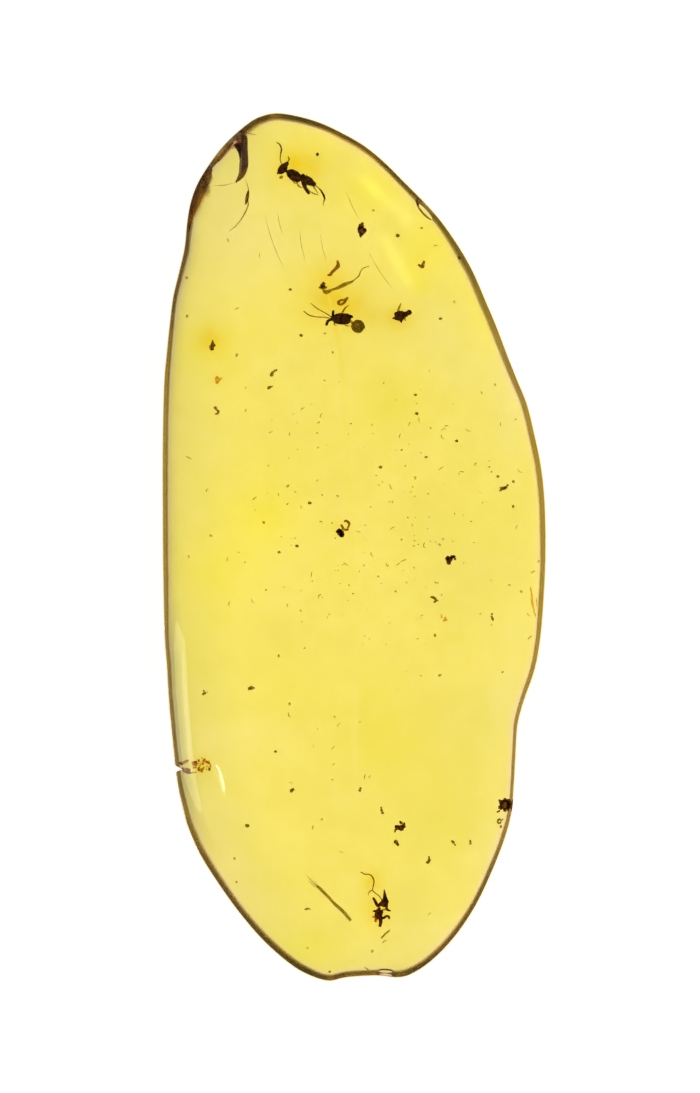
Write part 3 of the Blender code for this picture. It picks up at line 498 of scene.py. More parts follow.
def beads(bm, stations, count, group, place):
    """An antenna: a thin tube with a bead for each of its joints."""
    tube(bm, [(*point[:3], point[3] * 0.7) for point in stations], place, sides=6, steps=6, group=group)
    curve = curve_through(stations, 12)
    for i in range(count):
        here = curve[round((i + 0.5) / count * (len(curve) - 1))]
        after = curve[min(round((i + 0.5) / count * (len(curve) - 1)) + 1, len(curve) - 1)]
        bearing = math.degrees(math.atan2(after[1] - here[1], after[0] - here[0]))
        length = (Vector(stations[0][:3]) - Vector(stations[-1][:3])).length / count * 0.95
        ball(bm, here[:3], (length, here[3] * 2, here[3] * 2), bearing, place, group=group, detail=2, bumps=0)


def bristles(bm, centre, size, bearing, count, length, seed, group, place):
    """Short hairs that stand off a body segment."""
    chance = random.Random(seed)
    turn = Matrix.Rotation(math.radians(bearing), 3, "Z")
    half = Vector(size) / 2
    for _ in range(count):
        out = Vector(chance.uniform(-1, 1) for _ in range(3)).normalized()
        root = turn @ Vector(out[i] * half[i] for i in range(3)) + Vector(centre)
        lean = turn @ (out + Vector((0.8, 0, 0))).normalized() * length * chance.uniform(0.6, 1)
        middle, tip = root + lean * 0.5, root + lean + Vector((0, 0, -0.1 * length))
        tube(bm, [(*root, 0.008), (*middle, 0.006), (*tip, 0.004)], place, sides=4, steps=2, group=group)


def makers(bm, place):
    """The makers of one insect's segments, limbs, antennae and hairs, all round its middle."""
    return [partial(make, bm, place=place) for make in (ball, tube, beads, bristles)]


def strip(bm, spots, half_widths, half_heights, group=0):
    """A closed strip with a diamond section along the spots."""
    loops = []
    befores, afters = spots[:1] + spots, spots[1:] + spots[-1:]
    stations = zip(spots, befores, afters, half_widths, half_heights)
    for spot, before, after, half_width, half_height in stations:
        along = after - before
        side = Vector((-along.y, along.x, 0)).normalized() * half_width
        up = Vector((0, 0, half_height))
        loops.append([bm.verts.new((spot + way) * MM) for way in (side, up, -side, -up)])
    close_loops(bm, loops, group)


# Materials


def nodes_of(material):
    material.use_nodes = True
    return material.node_tree.nodes, material.node_tree.links


def mixed_colours(nodes, links, factor, first, second):
    mix = nodes.new("ShaderNodeMix")
    mix.data_type = "RGBA"
    mix.inputs[6].default_value = (*first, 1)
    mix.inputs[7].default_value = (*second, 1)
    links.new(factor, mix.inputs[0])
    return mix.outputs[2]


def noise_factor(nodes, links, scale, detail=4.0, low=0.35, high=0.65):
    """A noise over the object, spread to run from 0 to 1. The scale is in waves per metre."""
    coordinates = nodes.new("ShaderNodeTexCoord")
    texture = nodes.new("ShaderNodeTexNoise")
    texture.inputs["Scale"].default_value = scale
    texture.inputs["Detail"].default_value = detail
    links.new(coordinates.outputs["Object"], texture.inputs["Vector"])
    return spread(nodes, links, texture.outputs["Fac"], low, high, 0, 1)


def spread(nodes, links, value, low, high, to_low, to_high):
    ranged = nodes.new("ShaderNodeMapRange")
    for index, number in enumerate((low, high, to_low, to_high), start=1):
        ranged.inputs[index].default_value = number
    ranged.interpolation_type = "SMOOTHSTEP"
    links.new(value, ranged.inputs[0])
    return ranged.outputs[0]


def bump(nodes, links, height, strength, distance):
    node = nodes.new("ShaderNodeBump")
    node.inputs["Strength"].default_value = strength
    node.inputs["Distance"].default_value = distance
    links.new(height, node.inputs["Height"])
    return node.outputs["Normal"]


def mottled_material(name, dark, light, scale, roughness, bump_distance):
    """A mottled surface: two colours, a roughness that varies between two values, and a bump."""
    material = bpy.data.materials.new(name)
    nodes, links = nodes_of(material)
    shader = nodes["Principled BSDF"]
    broad = noise_factor(nodes, links, scale)
    fine = noise_factor(nodes, links, scale * 4, low=0.3, high=0.7)
    links.new(mixed_colours(nodes, links, broad, dark, light), shader.inputs["Base Color"])
    links.new(spread(nodes, links, fine, 0, 1, *roughness), shader.inputs["Roughness"])
    links.new(bump(nodes, links, fine, 0.6, bump_distance), shader.inputs["Normal"])
    shader.inputs["Specular IOR Level"].default_value = 0.1
    return material


def tinted_material(name, dark, light, scale=4000):
    """Thin matter sealed in the amber, and the sheets of painted shade: the light comes through them,
    coloured.
    """
    material = mottled_material(name, dark, light, scale, (0.2, 0.4), FINE_BUMP)
    shader = material.node_tree.nodes["Principled BSDF"]
    shader.inputs["Transmission Weight"].default_value = 1
    shader.inputs["IOR"].default_value = SEALED_IOR
    return material


def amber_material():
    """Clear yellow amber: coloured by what it absorbs and, at its surface, by the tint that each spot has,
    which holds painted shade and painted highlights besides the amber's own colour.
    """
    material = bpy.data.materials.new("clear_amber")
    nodes, links = nodes_of(material)
    shader = nodes["Principled BSDF"]
    shader.inputs["Transmission Weight"].default_value = 1
    shader.inputs["IOR"].default_value = IOR
    tint = nodes.new("ShaderNodeAttribute")
    tint.attribute_name = "tint"
    mottled = nodes.new("ShaderNodeMix")
    mottled.data_type = "RGBA"
    mottled.blend_type = "MULTIPLY"
    mottled.inputs[0].default_value = 1
    links.new(tint.outputs["Color"], mottled.inputs[6])
    specks = noise_factor(nodes, links, 900, 6.0, 0.3, 0.7)
    links.new(mixed_colours(nodes, links, specks, (0.965, 0.965, 0.86), (1.0, 1.0, 1.0)), mottled.inputs[7])
    links.new(mottled.outputs[2], shader.inputs["Base Color"])
    matt = nodes.new("ShaderNodeAttribute")
    matt.attribute_name = "matt"
    links.new(spread(nodes, links, matt.outputs["Fac"], 0, 1, 0, EDGE_ROUGHNESS), shader.inputs["Roughness"])
    absorbed = nodes.new("ShaderNodeVolumeAbsorption")
    strongest = max(ABSORPTION)
    absorbed.inputs["Color"].default_value = (*(1 - lost / strongest for lost in ABSORPTION), 1)
    absorbed.inputs["Density"].default_value = strongest / MM
    links.new(absorbed.outputs["Volume"], nodes["Material Output"].inputs["Volume"])
    waves = noise_factor(nodes, links, 500, 2.0, 0.2, 0.8)
    links.new(bump(nodes, links, waves, 0.25, 0.00003), shader.inputs["Normal"])
    return material


# The slab


def closed_curve(points, steps):
    around = points[-1:] + points + points[:2]
    curve = curve_through([(*p,) for p in around], steps)
    return [Vector(p) for p in curve[steps:-steps - 1]]


def evenly_spaced(curve, count):
    closed = curve + [curve[0]]
    reach = np.concatenate(([0], np.cumsum([(b - a).length for a, b in zip(closed, closed[1:])])))
    wanted = np.arange(count) / count * reach[-1]
    xs = np.interp(wanted, reach, [p.x for p in closed])
    ys = np.interp(wanted, reach, [p.y for p in closed])
    return [Vector(p) for p in zip(xs, ys)]


def spine_point(edge):
    y = SPINE_LENGTH_SHARE * edge.y
    return Vector((-SPINE_BEND * max(y, 0) ** 2, y))


def eased(share):
    return (1 - math.cos(math.pi * min(1, share))) / 2


def rounding_radius(edge):
    bearing = math.degrees(math.atan2(edge.y, edge.x))
    stops = ROUNDING_RADII + ((180, ROUNDING_RADII[0][1]),)
    for (start, first), (end, second) in zip(stops, stops[1:]):
        if start <= bearing <= end:
            return first + eased((bearing - start) / (end - start)) * (second - first)
    raise ValueError(bearing)


def bevel_height(depth):
    """The rise over the bevel at the lower left: ever steeper at first, then soon level."""
    reach = BEVEL_WIDTH - BEVEL_STEEPEST
    outer = min(depth, BEVEL_STEEPEST) / BEVEL_STEEPEST
    inner = min(max(depth - BEVEL_STEEPEST, 0), reach)
    rise = BEVEL_STEEPEST / (1 + BEVEL_CURVE) * outer ** (1 + BEVEL_CURVE)
    return BEVEL_SLOPE * (rise + inner * (1 - inner / (2 * reach)))


def bevel_share(edge):
    bearing = math.degrees(math.atan2(edge.y, edge.x))
    begins, full, fades, ends = BEVEL_BEARINGS
    rise = max(0, (bearing - begins) / (full - begins))
    fall = max(0, (ends - bearing) / (ends - fades))
    return eased(rise) * eased(fall)


def upper_height(depth, share, bevel):
    lip = LIP_RADIUS * math.sqrt(1 - max(0, 1 - depth / LIP_RADIUS) ** 2)
    rise = bevel_height(BEVEL_WIDTH)
    shoulder = rise * eased(depth / SHOULDER_WIDTH)
    shoulder += bevel * (bevel_height(depth) - shoulder)
    return THICKNESS - CROWN_RISE - rise - LIP_RADIUS + lip + shoulder + CROWN_RISE * eased(share)


def slab_rings(edges):
    inwards = [spine_point(edge) - edge for edge in edges]
    radii = [rounding_radius(edge) for edge in edges]
    rings = []

    def add_ring(depths, heights):
        rings.append([
            Vector((*(edge + inward.normalized() * depth), height))
            for edge, inward, depth, height in zip(edges, inwards, depths, heights)
        ])

    for step in range(CROWN_STEPS, 0, -1):
        share = CROWN_REACH * step / CROWN_STEPS
        starts = [radius * math.sin(ROUNDING_TURN) for radius in radii]
        depths = [start + share * (inward.length - start) for start, inward in zip(starts, inwards)]
        add_ring(depths, [0] * len(edges))
    for step in range(ROUNDING_STEPS + 1):
        turn = step / ROUNDING_STEPS * ROUNDING_TURN
        depths = [radius * (math.sin(ROUNDING_TURN) - math.sin(turn)) for radius in radii]
        add_ring(depths, [radius * (1 - math.cos(turn)) for radius in radii])
    bevels = [bevel_share(edge) for edge in edges]

    def add_upper_ring(depths):
        add_ring(depths, [
            upper_height(depth, depth / inward.length, bevel)
            for depth, inward, bevel in zip(depths, inwards, bevels)
        ])

    for step in range(LIP_STEPS + 1):
        add_upper_ring([LIP_RADIUS * (1 - math.cos(step / LIP_STEPS * math.pi / 2))] * len(edges))
    for step in range(1, SHOULDER_STEPS + 1):
        add_upper_ring([LIP_RADIUS + (BEVEL_WIDTH - LIP_RADIUS) * step / SHOULDER_STEPS] * len(edges))
    for step in range(1, CROWN_STEPS + 1):
        share = CROWN_REACH * step / CROWN_STEPS
        add_upper_ring([BEVEL_WIDTH + share * (inward.length - BEVEL_WIDTH) for inward in inwards])
    return rings


def cutter(bm, name, group):
    item = make_object(bm, name, [])
    for other in item.users_collection:
        other.objects.unlink(item)
    group.objects.link(item)


def chip_cutters(group):
    for name, (centre, half_sizes, bearing) in CHIPS.items():
        bm = bmesh.new()
        place = Matrix.Translation(Vector(centre) * MM) @ Matrix.Rotation(math.radians(bearing), 4, "Z")
        size = Matrix.Diagonal((*(Vector(half_sizes) * MM), 1))
        bmesh.ops.create_uvsphere(bm, u_segments=64, v_segments=40, radius=1, matrix=place @ size)
        cutter(bm, name, group)


def groove_cutter(name, stations, group):
    """A cutter with a diamond section, through stations of x, y, height and half width."""
    bm = bmesh.new()
    half_widths = [half_width for *_, half_width in stations]
    half_heights = [half_width * SCAR_GROOVE_STEEPNESS for half_width in half_widths]
    strip(bm, [Vector(station[:3]) for station in stations], half_widths, half_heights)
    cutter(bm, name, group)


def scar_height(spot):
    """How high the flake scar cuts at a spot, or below zero outside it."""
    centre, half_sizes, bearing = CHIPS["flake_scar_upper_left"]
    local = Matrix.Rotation(-math.radians(bearing), 2) @ (spot - Vector(centre[:2]))
    share = (local.x / half_sizes[0]) ** 2 + (local.y / half_sizes[1]) ** 2
    return centre[2] + half_sizes[2] * math.sqrt(max(0, 1 - share))


def scar_edge_cutter(edges, group):
    """Where the scar runs out through the side, a narrow bevel follows the outline."""
    reached = [edge for edge in edges if scar_height(edge) > 0.02]
    reached.sort(key=lambda edge: edge.y)
    stations = []
    for i, edge in enumerate(reached):
        width = SCAR_EDGE_WIDTH * (0.3 + 0.7 * eased(3 * min(i, len(reached) - 1 - i) / len(reached)))
        stations.append((edge.x, edge.y, scar_height(edge), width))
    groove_cutter("scar_edge", stations, group)


def notch_cutter(group):
    mouth, tip = Vector(NOTCH_MOUTH), Vector(NOTCH_TIP)
    side = (mouth - tip).orthogonal().normalized() * NOTCH_HALF_WIDTH
    corners = (mouth + side, mouth - side, tip)
    bm = bmesh.new()
    loops = [[bm.verts.new(Vector((*corner, height)) * MM) for corner in corners] for height in NOTCH_CUT]
    close_loops(bm, loops, 0)
    cutter(bm, "notch", group)


def distance_to_line(spots, start, way):
    """How far each spot is from the straight line that runs one way from its start."""
    share = np.clip(((spots - start) @ way) / (way @ way), 0, 1)
    return np.linalg.norm(spots - start - share[:, None] * way, axis=1)


def distance_to(outline, spots):
    """How far each spot is from the closed outline, in mm."""
    starts = np.array([(*p,) for p in outline])
    nearest = np.full(len(spots), np.inf)
    for start, way in zip(starts, np.roll(starts, -1, axis=0) - starts):
        nearest = np.minimum(nearest, distance_to_line(spots, start, way))
    return nearest


def clouds_at(spots, clouds):
    """The summed strength of soft oval clouds at each spot."""
    total = np.zeros(len(spots))
    for x, y, half_width, half_length, strength in clouds:
        away = ((spots[:, 0] - x) / half_width) ** 2 + ((spots[:, 1] - y) / half_length) ** 2
        total += strength * np.exp(-1.2 * away)
    return total


def painted_highlights_at(spots):
    """The summed strength of the painted highlight streaks at each spot."""
    total = np.zeros(len(spots))
    for x, y, end_x, end_y, half_width, strength in PAINTED_HIGHLIGHT_STREAKS:
        away = distance_to_line(spots, np.array((x, y)), np.array((end_x - x, end_y - y)))
        total += strength * np.exp(-((away / half_width) ** 2))
    return total


def drift_at(spots, size, seed):
    """A smooth random drift from about -1 to 1, with patches of the given size in mm."""
    return np.array([noise.fractal(Vector((x / size, y / size, seed)), 0.9, 2.0, 3) for x, y in spots])


def ramp(value, start, end):
    """From 0 at the start to 1 at the end."""
    return np.clip((value - start) / (end - start), 0, 1)


def amber_tint_with_painted_light(spots, depths):
    """The amber's tint at each spot: its own colour, golden or pale, bright or dull and orange round the
    debris, with painted shade along the left edge, in the bevel and at the rim, and painted highlight
    streaks.
    """
    x, y = spots.T
    golden = BASE_GOLD + clouds_at(spots, GOLDEN_CLOUDS) - clouds_at(spots, PALE_CLOUDS)
    dull = BASE_DULL + clouds_at(spots, DULL_CLOUDS) - clouds_at(spots, BRIGHT_CLOUDS)
    dull += 0.3 * drift_at(spots, 2.5, 9) + 0.25 * drift_at(spots, 1.0, 4)
    glow = 1.25 * clouds_at(spots, GLOWS) * (1 + 0.35 * drift_at(spots, 0.8, 5))
    left = ramp(x, -4, -8) * ramp(y, -16, -12)
    shadow = left * LEFT_SHADOW * np.exp(-np.clip(depths - 0.15, 0, None) / LEFT_SHADOW_WIDTH)
    shadow += left * BEVEL_SHADOW * ramp(y, -2.5, -5.5) * ramp(depths, 0, 0.5) * ramp(depths, 1.05, 0.9)
    strengths = {
        "golden": np.clip(golden + 0.1 * drift_at(spots, 3.5, 2), 0, 1.2),
        "dull": np.clip(dull, 0, 1.5),
        "glow": np.clip(glow, 0, 1.1),
        "shadow": shadow,
        # painted shade colour at the rim
        "rim": np.exp(-((depths / 0.35) ** 2)),
        # painted highlight streaks
        "streak": painted_highlights_at(spots),
    }
    colours = np.ones((len(spots), 4))
    for channel, share in enumerate(AMBER_TINT):
        colours[:, channel] = share
        for name, losses in TINT_LOSSES.items():
            colours[:, channel] *= 1 - losses[channel] * strengths[name]
    colours[:, :3] = np.clip(colours[:, :3], 0.02, 1)
    return colours


def mattness(face):
    """The steep faces of the underside aren't polished: its rounding, grooves and chips."""
    slope = math.degrees(math.acos(max(-1, min(1, -face.normal.z))))
    return ramp(slope, *MATT_SLOPES) * ramp(slope, *POLISHED_SLOPES)


def cut_damage(slab, edges):
    """The slab's mesh, with the chips, the groove, the scar's edge and the notch cut into it."""
    cutters = bpy.data.collections.new("slab_cutters")
    chip_cutters(cutters)
    groove = [(x, y, 0, half_width) for x, y, half_width in curve_through(SCAR_GROOVE, 6)]
    groove_cutter("groove", groove, cutters)
    scar_edge_cutter(edges, cutters)
    notch_cutter(cutters)
    modifier = slab.modifiers.new("damage", "BOOLEAN")
    modifier.operation = "DIFFERENCE"
    modifier.solver = "EXACT"
    modifier.operand_type = "COLLECTION"
    modifier.collection = cutters
    cut = bpy.data.meshes.new_from_object(slab.evaluated_get(bpy.context.evaluated_depsgraph_get()))
    slab.modifiers.clear()
    for item in list(cutters.objects):
        bpy.data.objects.remove(item)
    bpy.data.collections.remove(cutters)
    return cut


def make_slab():
    edges = evenly_spaced(closed_curve(OUTLINE, 8), SEGMENTS)
    bm = bmesh.new()
    loops = [[bm.verts.new(spot * MM) for spot in ring] for ring in slab_rings(edges)]
    close_loops(bm, loops, 0)
    slab = make_object(bm, "amber_slab", [])
    mesh = cut_damage(slab, edges)
    slab.data = mesh
    mesh.shade_smooth()
    mesh.set_sharp_from_angle(angle=SHARP_ANGLE)
    spots = np.array([vert.co.xy for vert in mesh.vertices]) / MM
    matt = mesh.attributes.new("matt", "FLOAT", "FACE")
    matt.data.foreach_set("value", [mattness(face) for face in mesh.polygons])
    tint = mesh.attributes.new("tint", "FLOAT_COLOR", "POINT")
    tint.data.foreach_set("color", amber_tint_with_painted_light(spots, distance_to(edges, spots)).ravel())
    mesh.materials.clear()
    mesh.materials.append(amber_material())
    dress(slab, ("amber_upper", "amber_lower"))


# The insects. Lengths are in mm from each one's own middle.


def make_insect_in_profile(cuticle, thin):
    bm = bmesh.new()
    segment, limb, antenna, hairs = makers(bm, (-2.96, 18.76, 3.0))
    # Body: thorax, its humped front, waist and ringed hind body.
    segment((-0.1, 0.05, 0), (0.88, 0.54, 0.52), -37, rings=3, seed=1)
    segment((-0.26, 0.2, 0.02), (0.42, 0.34, 0.36), -30, seed=2)
    segment((-0.42, 0.25, 0), (0.36, 0.17, 0.18), -30, seed=3)
    segment((0.24, -0.08, 0), (0.3, 0.22, 0.22), -20, seed=4)
    segment((0.33, 0.05, 0.02), (0.2, 0.2, 0.2), 60, seed=5)
    segment((0.56, -0.2, 0), (0.78, 0.44, 0.44), -32, rings=5, seed=6)
    segment((0.86, -0.38, 0), (0.26, 0.26, 0.24), -35, seed=7)
    # Head: a wedge whose tip points up and right, with mandibles and eyes.
    segment((-0.67, 0.42, 0.02), (0.64, 0.42, 0.4), 55, seed=8)
    segment((-0.52, 0.62, 0.02), (0.36, 0.24, 0.24), 48, seed=9)
    segment((-0.79, 0.25, 0.02), (0.26, 0.22, 0.22), 20, seed=10)
    segment((-0.68, 0.45, 0.17), (0.12, 0.1, 0.08), 55, seed=11, detail=3)
    limb([(-0.84, 0.25, 0.04, 0.05), (-0.92, 0.2, 0.04, 0.035), (-0.9, 0.12, 0.04, 0.015)])
    segment((-0.73, -0.01, 0), (0.2, 0.17, 0.12), 15, seed=12, group=1, detail=3)
    # Antennae.
    antenna([(-0.66, 0.5, 0.02, 0.03), (-0.79, 0.86, 0.05, 0.035), (-0.77, 1.2, 0.1, 0.04),
             (-0.74, 1.4, 0.1, 0.045), (-0.83, 1.62, 0.11, 0.04), (-0.98, 1.72, 0.12, 0.025)], 11, 1)
    antenna([(-0.56, 0.66, 0.02, 0.02), (-0.42, 0.78, 0.08, 0.03), (-0.36, 0.9, 0.09, 0.045),
             (-0.42, 1.04, 0.1, 0.03)], 6, 1)
    # Hind leg: a thick thigh, then shin and foot.
    limb([(0.3, -0.15, -0.05, 0.1), (0.38, -0.4, -0.06, 0.115), (0.46, -0.62, -0.06, 0.09),
          (0.6, -0.84, -0.06, 0.075), (0.66, -0.9, -0.06, 0.04)])
    limb([(0.44, -0.56, -0.06, 0.05), (0.66, -0.76, -0.05, 0.045), (0.88, -0.88, -0.05, 0.035),
          (1.12, -0.95, -0.05, 0.02)], group=1)
    # Middle and fore legs.
    limb([(0.8, -0.38, -0.05, 0.05), (0.9, -0.58, -0.06, 0.045), (0.96, -0.68, -0.06, 0.035),
          (1.08, -0.86, -0.05, 0.02)], group=1)
    limb([(0.86, -0.38, 0.05, 0.035), (1.06, -0.54, 0.07, 0.035), (1.24, -0.72, 0.08, 0.045)], group=1)
    limb([(1.22, -0.7, 0.08, 0.04), (1.36, -0.96, 0.09, 0.055), (1.41, -1.14, 0.1, 0.045)])
    limb([(1.41, -1.14, 0.1, 0.045), (1.36, -1.28, 0.1, 0.035), (1.33, -1.48, 0.1, 0.02)], group=1)
    limb([(0.0, -0.2, 0, 0.05), (0.08, -0.42, -0.08, 0.045), (0.16, -0.52, -0.1, 0.04),
          (0.3, -0.58, -0.1, 0.02)], group=1)
    limb([(-0.2, -0.1, 0.1, 0.05), (-0.1, -0.3, 0.16, 0.035), (0.02, -0.36, 0.18, 0.02)], group=1)
    hairs((0.56, -0.2, 0), (0.78, 0.44, 0.44), -32, 26, 0.1, "profile", 1)
    piece = make_object(bm, "ant_like_insect", [cuticle, thin])
    dress(piece, ["insect_in_profile"])


def make_long_horned_insect(cuticle, olive, thin):
    bm = bmesh.new()
    segment, limb, antenna, hairs = makers(bm, (-0.48, 11.56, 2.6))
    # Boxy thorax with a raised back end, and the pale stalk.
    segment((-0.2, 0.03, 0), (0.95, 0.6, 0.52), -4, rings=2, seed=21)
    segment((-0.42, 0.06, 0), (0.42, 0.48, 0.4), 0, seed=22)
    segment((0.04, 0.02, 0), (0.42, 0.56, 0.44), 0, seed=23)
    segment((0.22, 0.14, 0.02), (0.26, 0.18, 0.2), -15, seed=24)
    limb([(0.26, 0.14, 0.02, 0.06), (0.32, 0.06, 0.02, 0.03)], group=2)
    segment((0.28, -0.14, 0), (0.24, 0.15, 0.16), -40, seed=25, group=2)
    # Round hind body.
    segment((0.6, -0.36, 0), (0.7, 0.66, 0.5), -40, rings=4, bumps=0.03, seed=26, group=1)
    # Head with jaws and eyes.
    segment((-0.6, 0.06, 0), (0.26, 0.26, 0.26), 20, seed=27)
    segment((-0.66, 0.14, 0.08), (0.12, 0.1, 0.1), 20, seed=28, detail=3)
    limb([(-0.58, 0.08, 0.02, 0.075), (-0.62, 0.24, 0.04, 0.06), (-0.61, 0.4, 0.05, 0.055),
          (-0.62, 0.48, 0.06, 0.03)])
    limb([(-0.6, 0.04, 0, 0.07), (-0.76, -0.02, 0, 0.07), (-0.86, -0.08, 0, 0.07),
          (-0.9, -0.2, -0.02, 0.07), (-0.92, -0.3, -0.03, 0.05)])
    # Long antennae.
    antenna([(-0.64, 0.08, 0.05, 0.03), (-0.78, 0.2, 0.07, 0.03), (-0.97, 0.33, 0.08, 0.032),
             (-1.37, 0.57, 0.1, 0.032), (-1.68, 0.83, 0.08, 0.025)], 12, 2)
    antenna([(-0.66, 0.04, 0.05, 0.03), (-0.98, 0.12, 0.05, 0.03), (-1.37, 0.14, 0.02, 0.032),
             (-1.74, 0.23, 0, 0.036), (-2.03, 0.44, 0, 0.03)], 13, 2)
    # Legs.
    limb([(-0.16, 0.15, 0, 0.05), (-0.17, 0.36, -0.03, 0.045), (-0.04, 0.58, -0.05, 0.045),
          (0.12, 0.72, -0.06, 0.02)], group=2)
    limb([(-0.5, -0.1, -0.08, 0.04), (-0.55, -0.24, -0.14, 0.035), (-0.42, -0.3, -0.16, 0.015)], group=2)
    limb([(-0.1, -0.16, -0.1, 0.04), (0.0, -0.3, -0.2, 0.035), (0.18, -0.34, -0.24, 0.015)], group=2)
    hairs((0.6, -0.36, 0), (0.7, 0.66, 0.5), -40, 30, 0.08, "long horned", 2)
    piece = make_object(bm, "long_horned_fly", [cuticle, olive, thin])
    dress(piece, ["long_horned_insect"])


def make_curled_insect(cuticle, red, thin):
    bm = bmesh.new()
    segment, limb, _, hairs = makers(bm, (2.24, 11.7, 2.9))
    segment((0.0, 0.02, 0), (0.58, 0.5, 0.48), 25, rings=3, bumps=0.08, seed=31)
    segment((-0.18, -0.1, 0), (0.26, 0.22, 0.26), 10, seed=32)
    segment((-0.2, 0.12, 0), (0.22, 0.2, 0.24), 40, seed=33)
    segment((0.06, -0.18, 0), (0.24, 0.18, 0.22), 70, seed=34)
    segment((0.27, 0.1, 0), (0.4, 0.28, 0.26), 20, seed=35)
    segment((0.46, 0.19, 0), (0.3, 0.28, 0.26), 40, rings=2, seed=36, group=1)
    segment((0.52, 0.25, 0.08), (0.1, 0.09, 0.09), 40, seed=37, detail=3)
    limb([(-0.1, 0.16, 0, 0.08), (-0.08, 0.36, 0.04, 0.055), (-0.02, 0.5, 0.06, 0.045),
          (0.04, 0.66, 0.08, 0.025)], group=2)
    limb([(0.0, -0.1, 0, 0.08), (0.04, -0.24, 0, 0.06), (0.07, -0.34, 0, 0.03)])
    limb([(-0.2, -0.1, 0.05, 0.05), (-0.34, -0.1, 0.05, 0.045), (-0.36, -0.16, 0.05, 0.02)])
    limb([(0.3, -0.02, 0.1, 0.04), (0.24, -0.16, 0.14, 0.035), (0.3, -0.24, 0.14, 0.015)], group=2)
    hairs((0, 0.02, 0), (0.58, 0.5, 0.48), 25, 22, 0.08, "curled", 2)
    piece = make_object(bm, "curled_beetle", [cuticle, red, thin])
    dress(piece, ["curled_insect"])


def make_crumpled_insect(red, torn, thin):
    bm = bmesh.new()
    segment, limb, antenna, hairs = makers(bm, (1.34, -18.25, 2.6))
    # Fore half: a crumpled block with a spike, and folded legs.
    segment((0.14, 0.22, 0), (0.42, 0.36, 0.4), 80, bumps=0.2, seed=41)
    segment((0.24, 0.28, 0.04), (0.22, 0.24, 0.26), 40, bumps=0.2, seed=42)
    segment((0.02, 0.2, 0), (0.26, 0.18, 0.22), 10, bumps=0.2, seed=43)
    limb([(0.18, 0.34, 0, 0.14), (0.16, 0.54, 0.04, 0.09), (0.14, 0.74, 0.05, 0.055),
          (0.12, 0.9, 0.06, 0.02)])
    limb([(0.0, 0.17, 0, 0.07), (-0.12, 0.08, 0, 0.08), (-0.2, 0.16, 0.01, 0.08), (-0.3, 0.36, 0.02, 0.07),
          (-0.38, 0.5, 0.03, 0.06)])
    limb([(0.24, 0.14, 0, 0.08), (0.26, -0.06, 0, 0.06), (0.3, -0.14, 0, 0.06), (0.46, -0.2, 0, 0.035)])
    limb([(0.26, -0.1, 0, 0.05), (0.12, -0.12, 0, 0.05), (0.04, -0.16, 0, 0.03)], group=2)
    # Hind half: torn and ragged.
    segment((-0.12, -0.36, 0), (0.52, 0.38, 0.38), 95, rings=3, bumps=0.22, seed=44)
    segment((-0.1, -0.12, 0), (0.26, 0.18, 0.22), 70, bumps=0.2, seed=45)
    segment((-0.26, -0.2, 0), (0.2, 0.13, 0.16), 150, bumps=0.2, seed=46)
    segment((0.03, -0.24, 0), (0.16, 0.22, 0.2), 10, bumps=0.2, seed=47)
    limb([(-0.14, -0.28, 0, 0.08), (-0.28, -0.2, 0, 0.05), (-0.4, -0.2, 0, 0.025)])
    limb([(-0.02, -0.5, 0, 0.08), (0.12, -0.55, 0, 0.07), (0.26, -0.46, 0, 0.065), (0.38, -0.5, 0, 0.06),
          (0.4, -0.62, 0, 0.035)])
    limb([(-0.06, -0.46, 0, 0.1), (0.0, -0.7, 0, 0.09), (-0.02, -0.88, 0, 0.08), (-0.05, -1.0, 0, 0.07)])
    limb([(-0.16, -0.5, 0, 0.07), (-0.25, -0.64, 0, 0.06), (-0.27, -0.76, 0, 0.05)], group=1)
    segment((-0.24, -0.66, 0.02), (0.2, 0.15, 0.12), 100, bumps=0.3, seed=48, group=1)
    segment((-0.34, -0.5, 0.05), (0.12, 0.2, 0.08), 80, bumps=0.3, seed=49, group=1)
    # The long bent antenna, and a thin one beside it.
    antenna([(0.06, 0.34, 0.04, 0.03), (-0.12, 0.6, 0.08, 0.028), (-0.3, 0.76, 0.1, 0.03),
             (-0.4, 0.92, 0.11, 0.032), (-0.36, 1.2, 0.12, 0.034), (-0.37, 1.42, 0.12, 0.036),
             (-0.46, 1.6, 0.11, 0.036), (-0.6, 1.7, 0.1, 0.034), (-0.8, 1.7, 0.08, 0.036),
             (-1.04, 1.81, 0.06, 0.03)], 18, 2)
    limb([(-0.42, 0.9, 0.1, 0.025), (-0.54, 0.82, 0.1, 0.03), (-0.62, 0.72, 0.1, 0.025),
          (-0.62, 0.6, 0.1, 0.012)], group=2)
    hairs((-0.12, -0.36, 0), (0.52, 0.38, 0.38), 95, 24, 0.1, "crumpled", 2)
    piece = make_object(bm, "crumpled_fly", [red, torn, thin])
    dress(piece, ["crumpled_insect"])


# The debris


def node_middle(node):
    low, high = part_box(node)
    return (Vector(low) + Vector(high)) / 2 / MM, (Vector(high) - Vector(low)) / MM


def lump(bm, centre, radius, seed, group, roughness=0.45):
    chance = random.Random(seed)
    size = [radius * 2 * chance.uniform(0.9, 1.1), radius * 2 * chance.uniform(0.85, 1.05), radius * 1.7]
    bearing = chance.uniform(0, 180)
    ball(bm, centre, size, bearing, bumps=roughness, seed=chance.uniform(0, 50), group=group, detail=3)


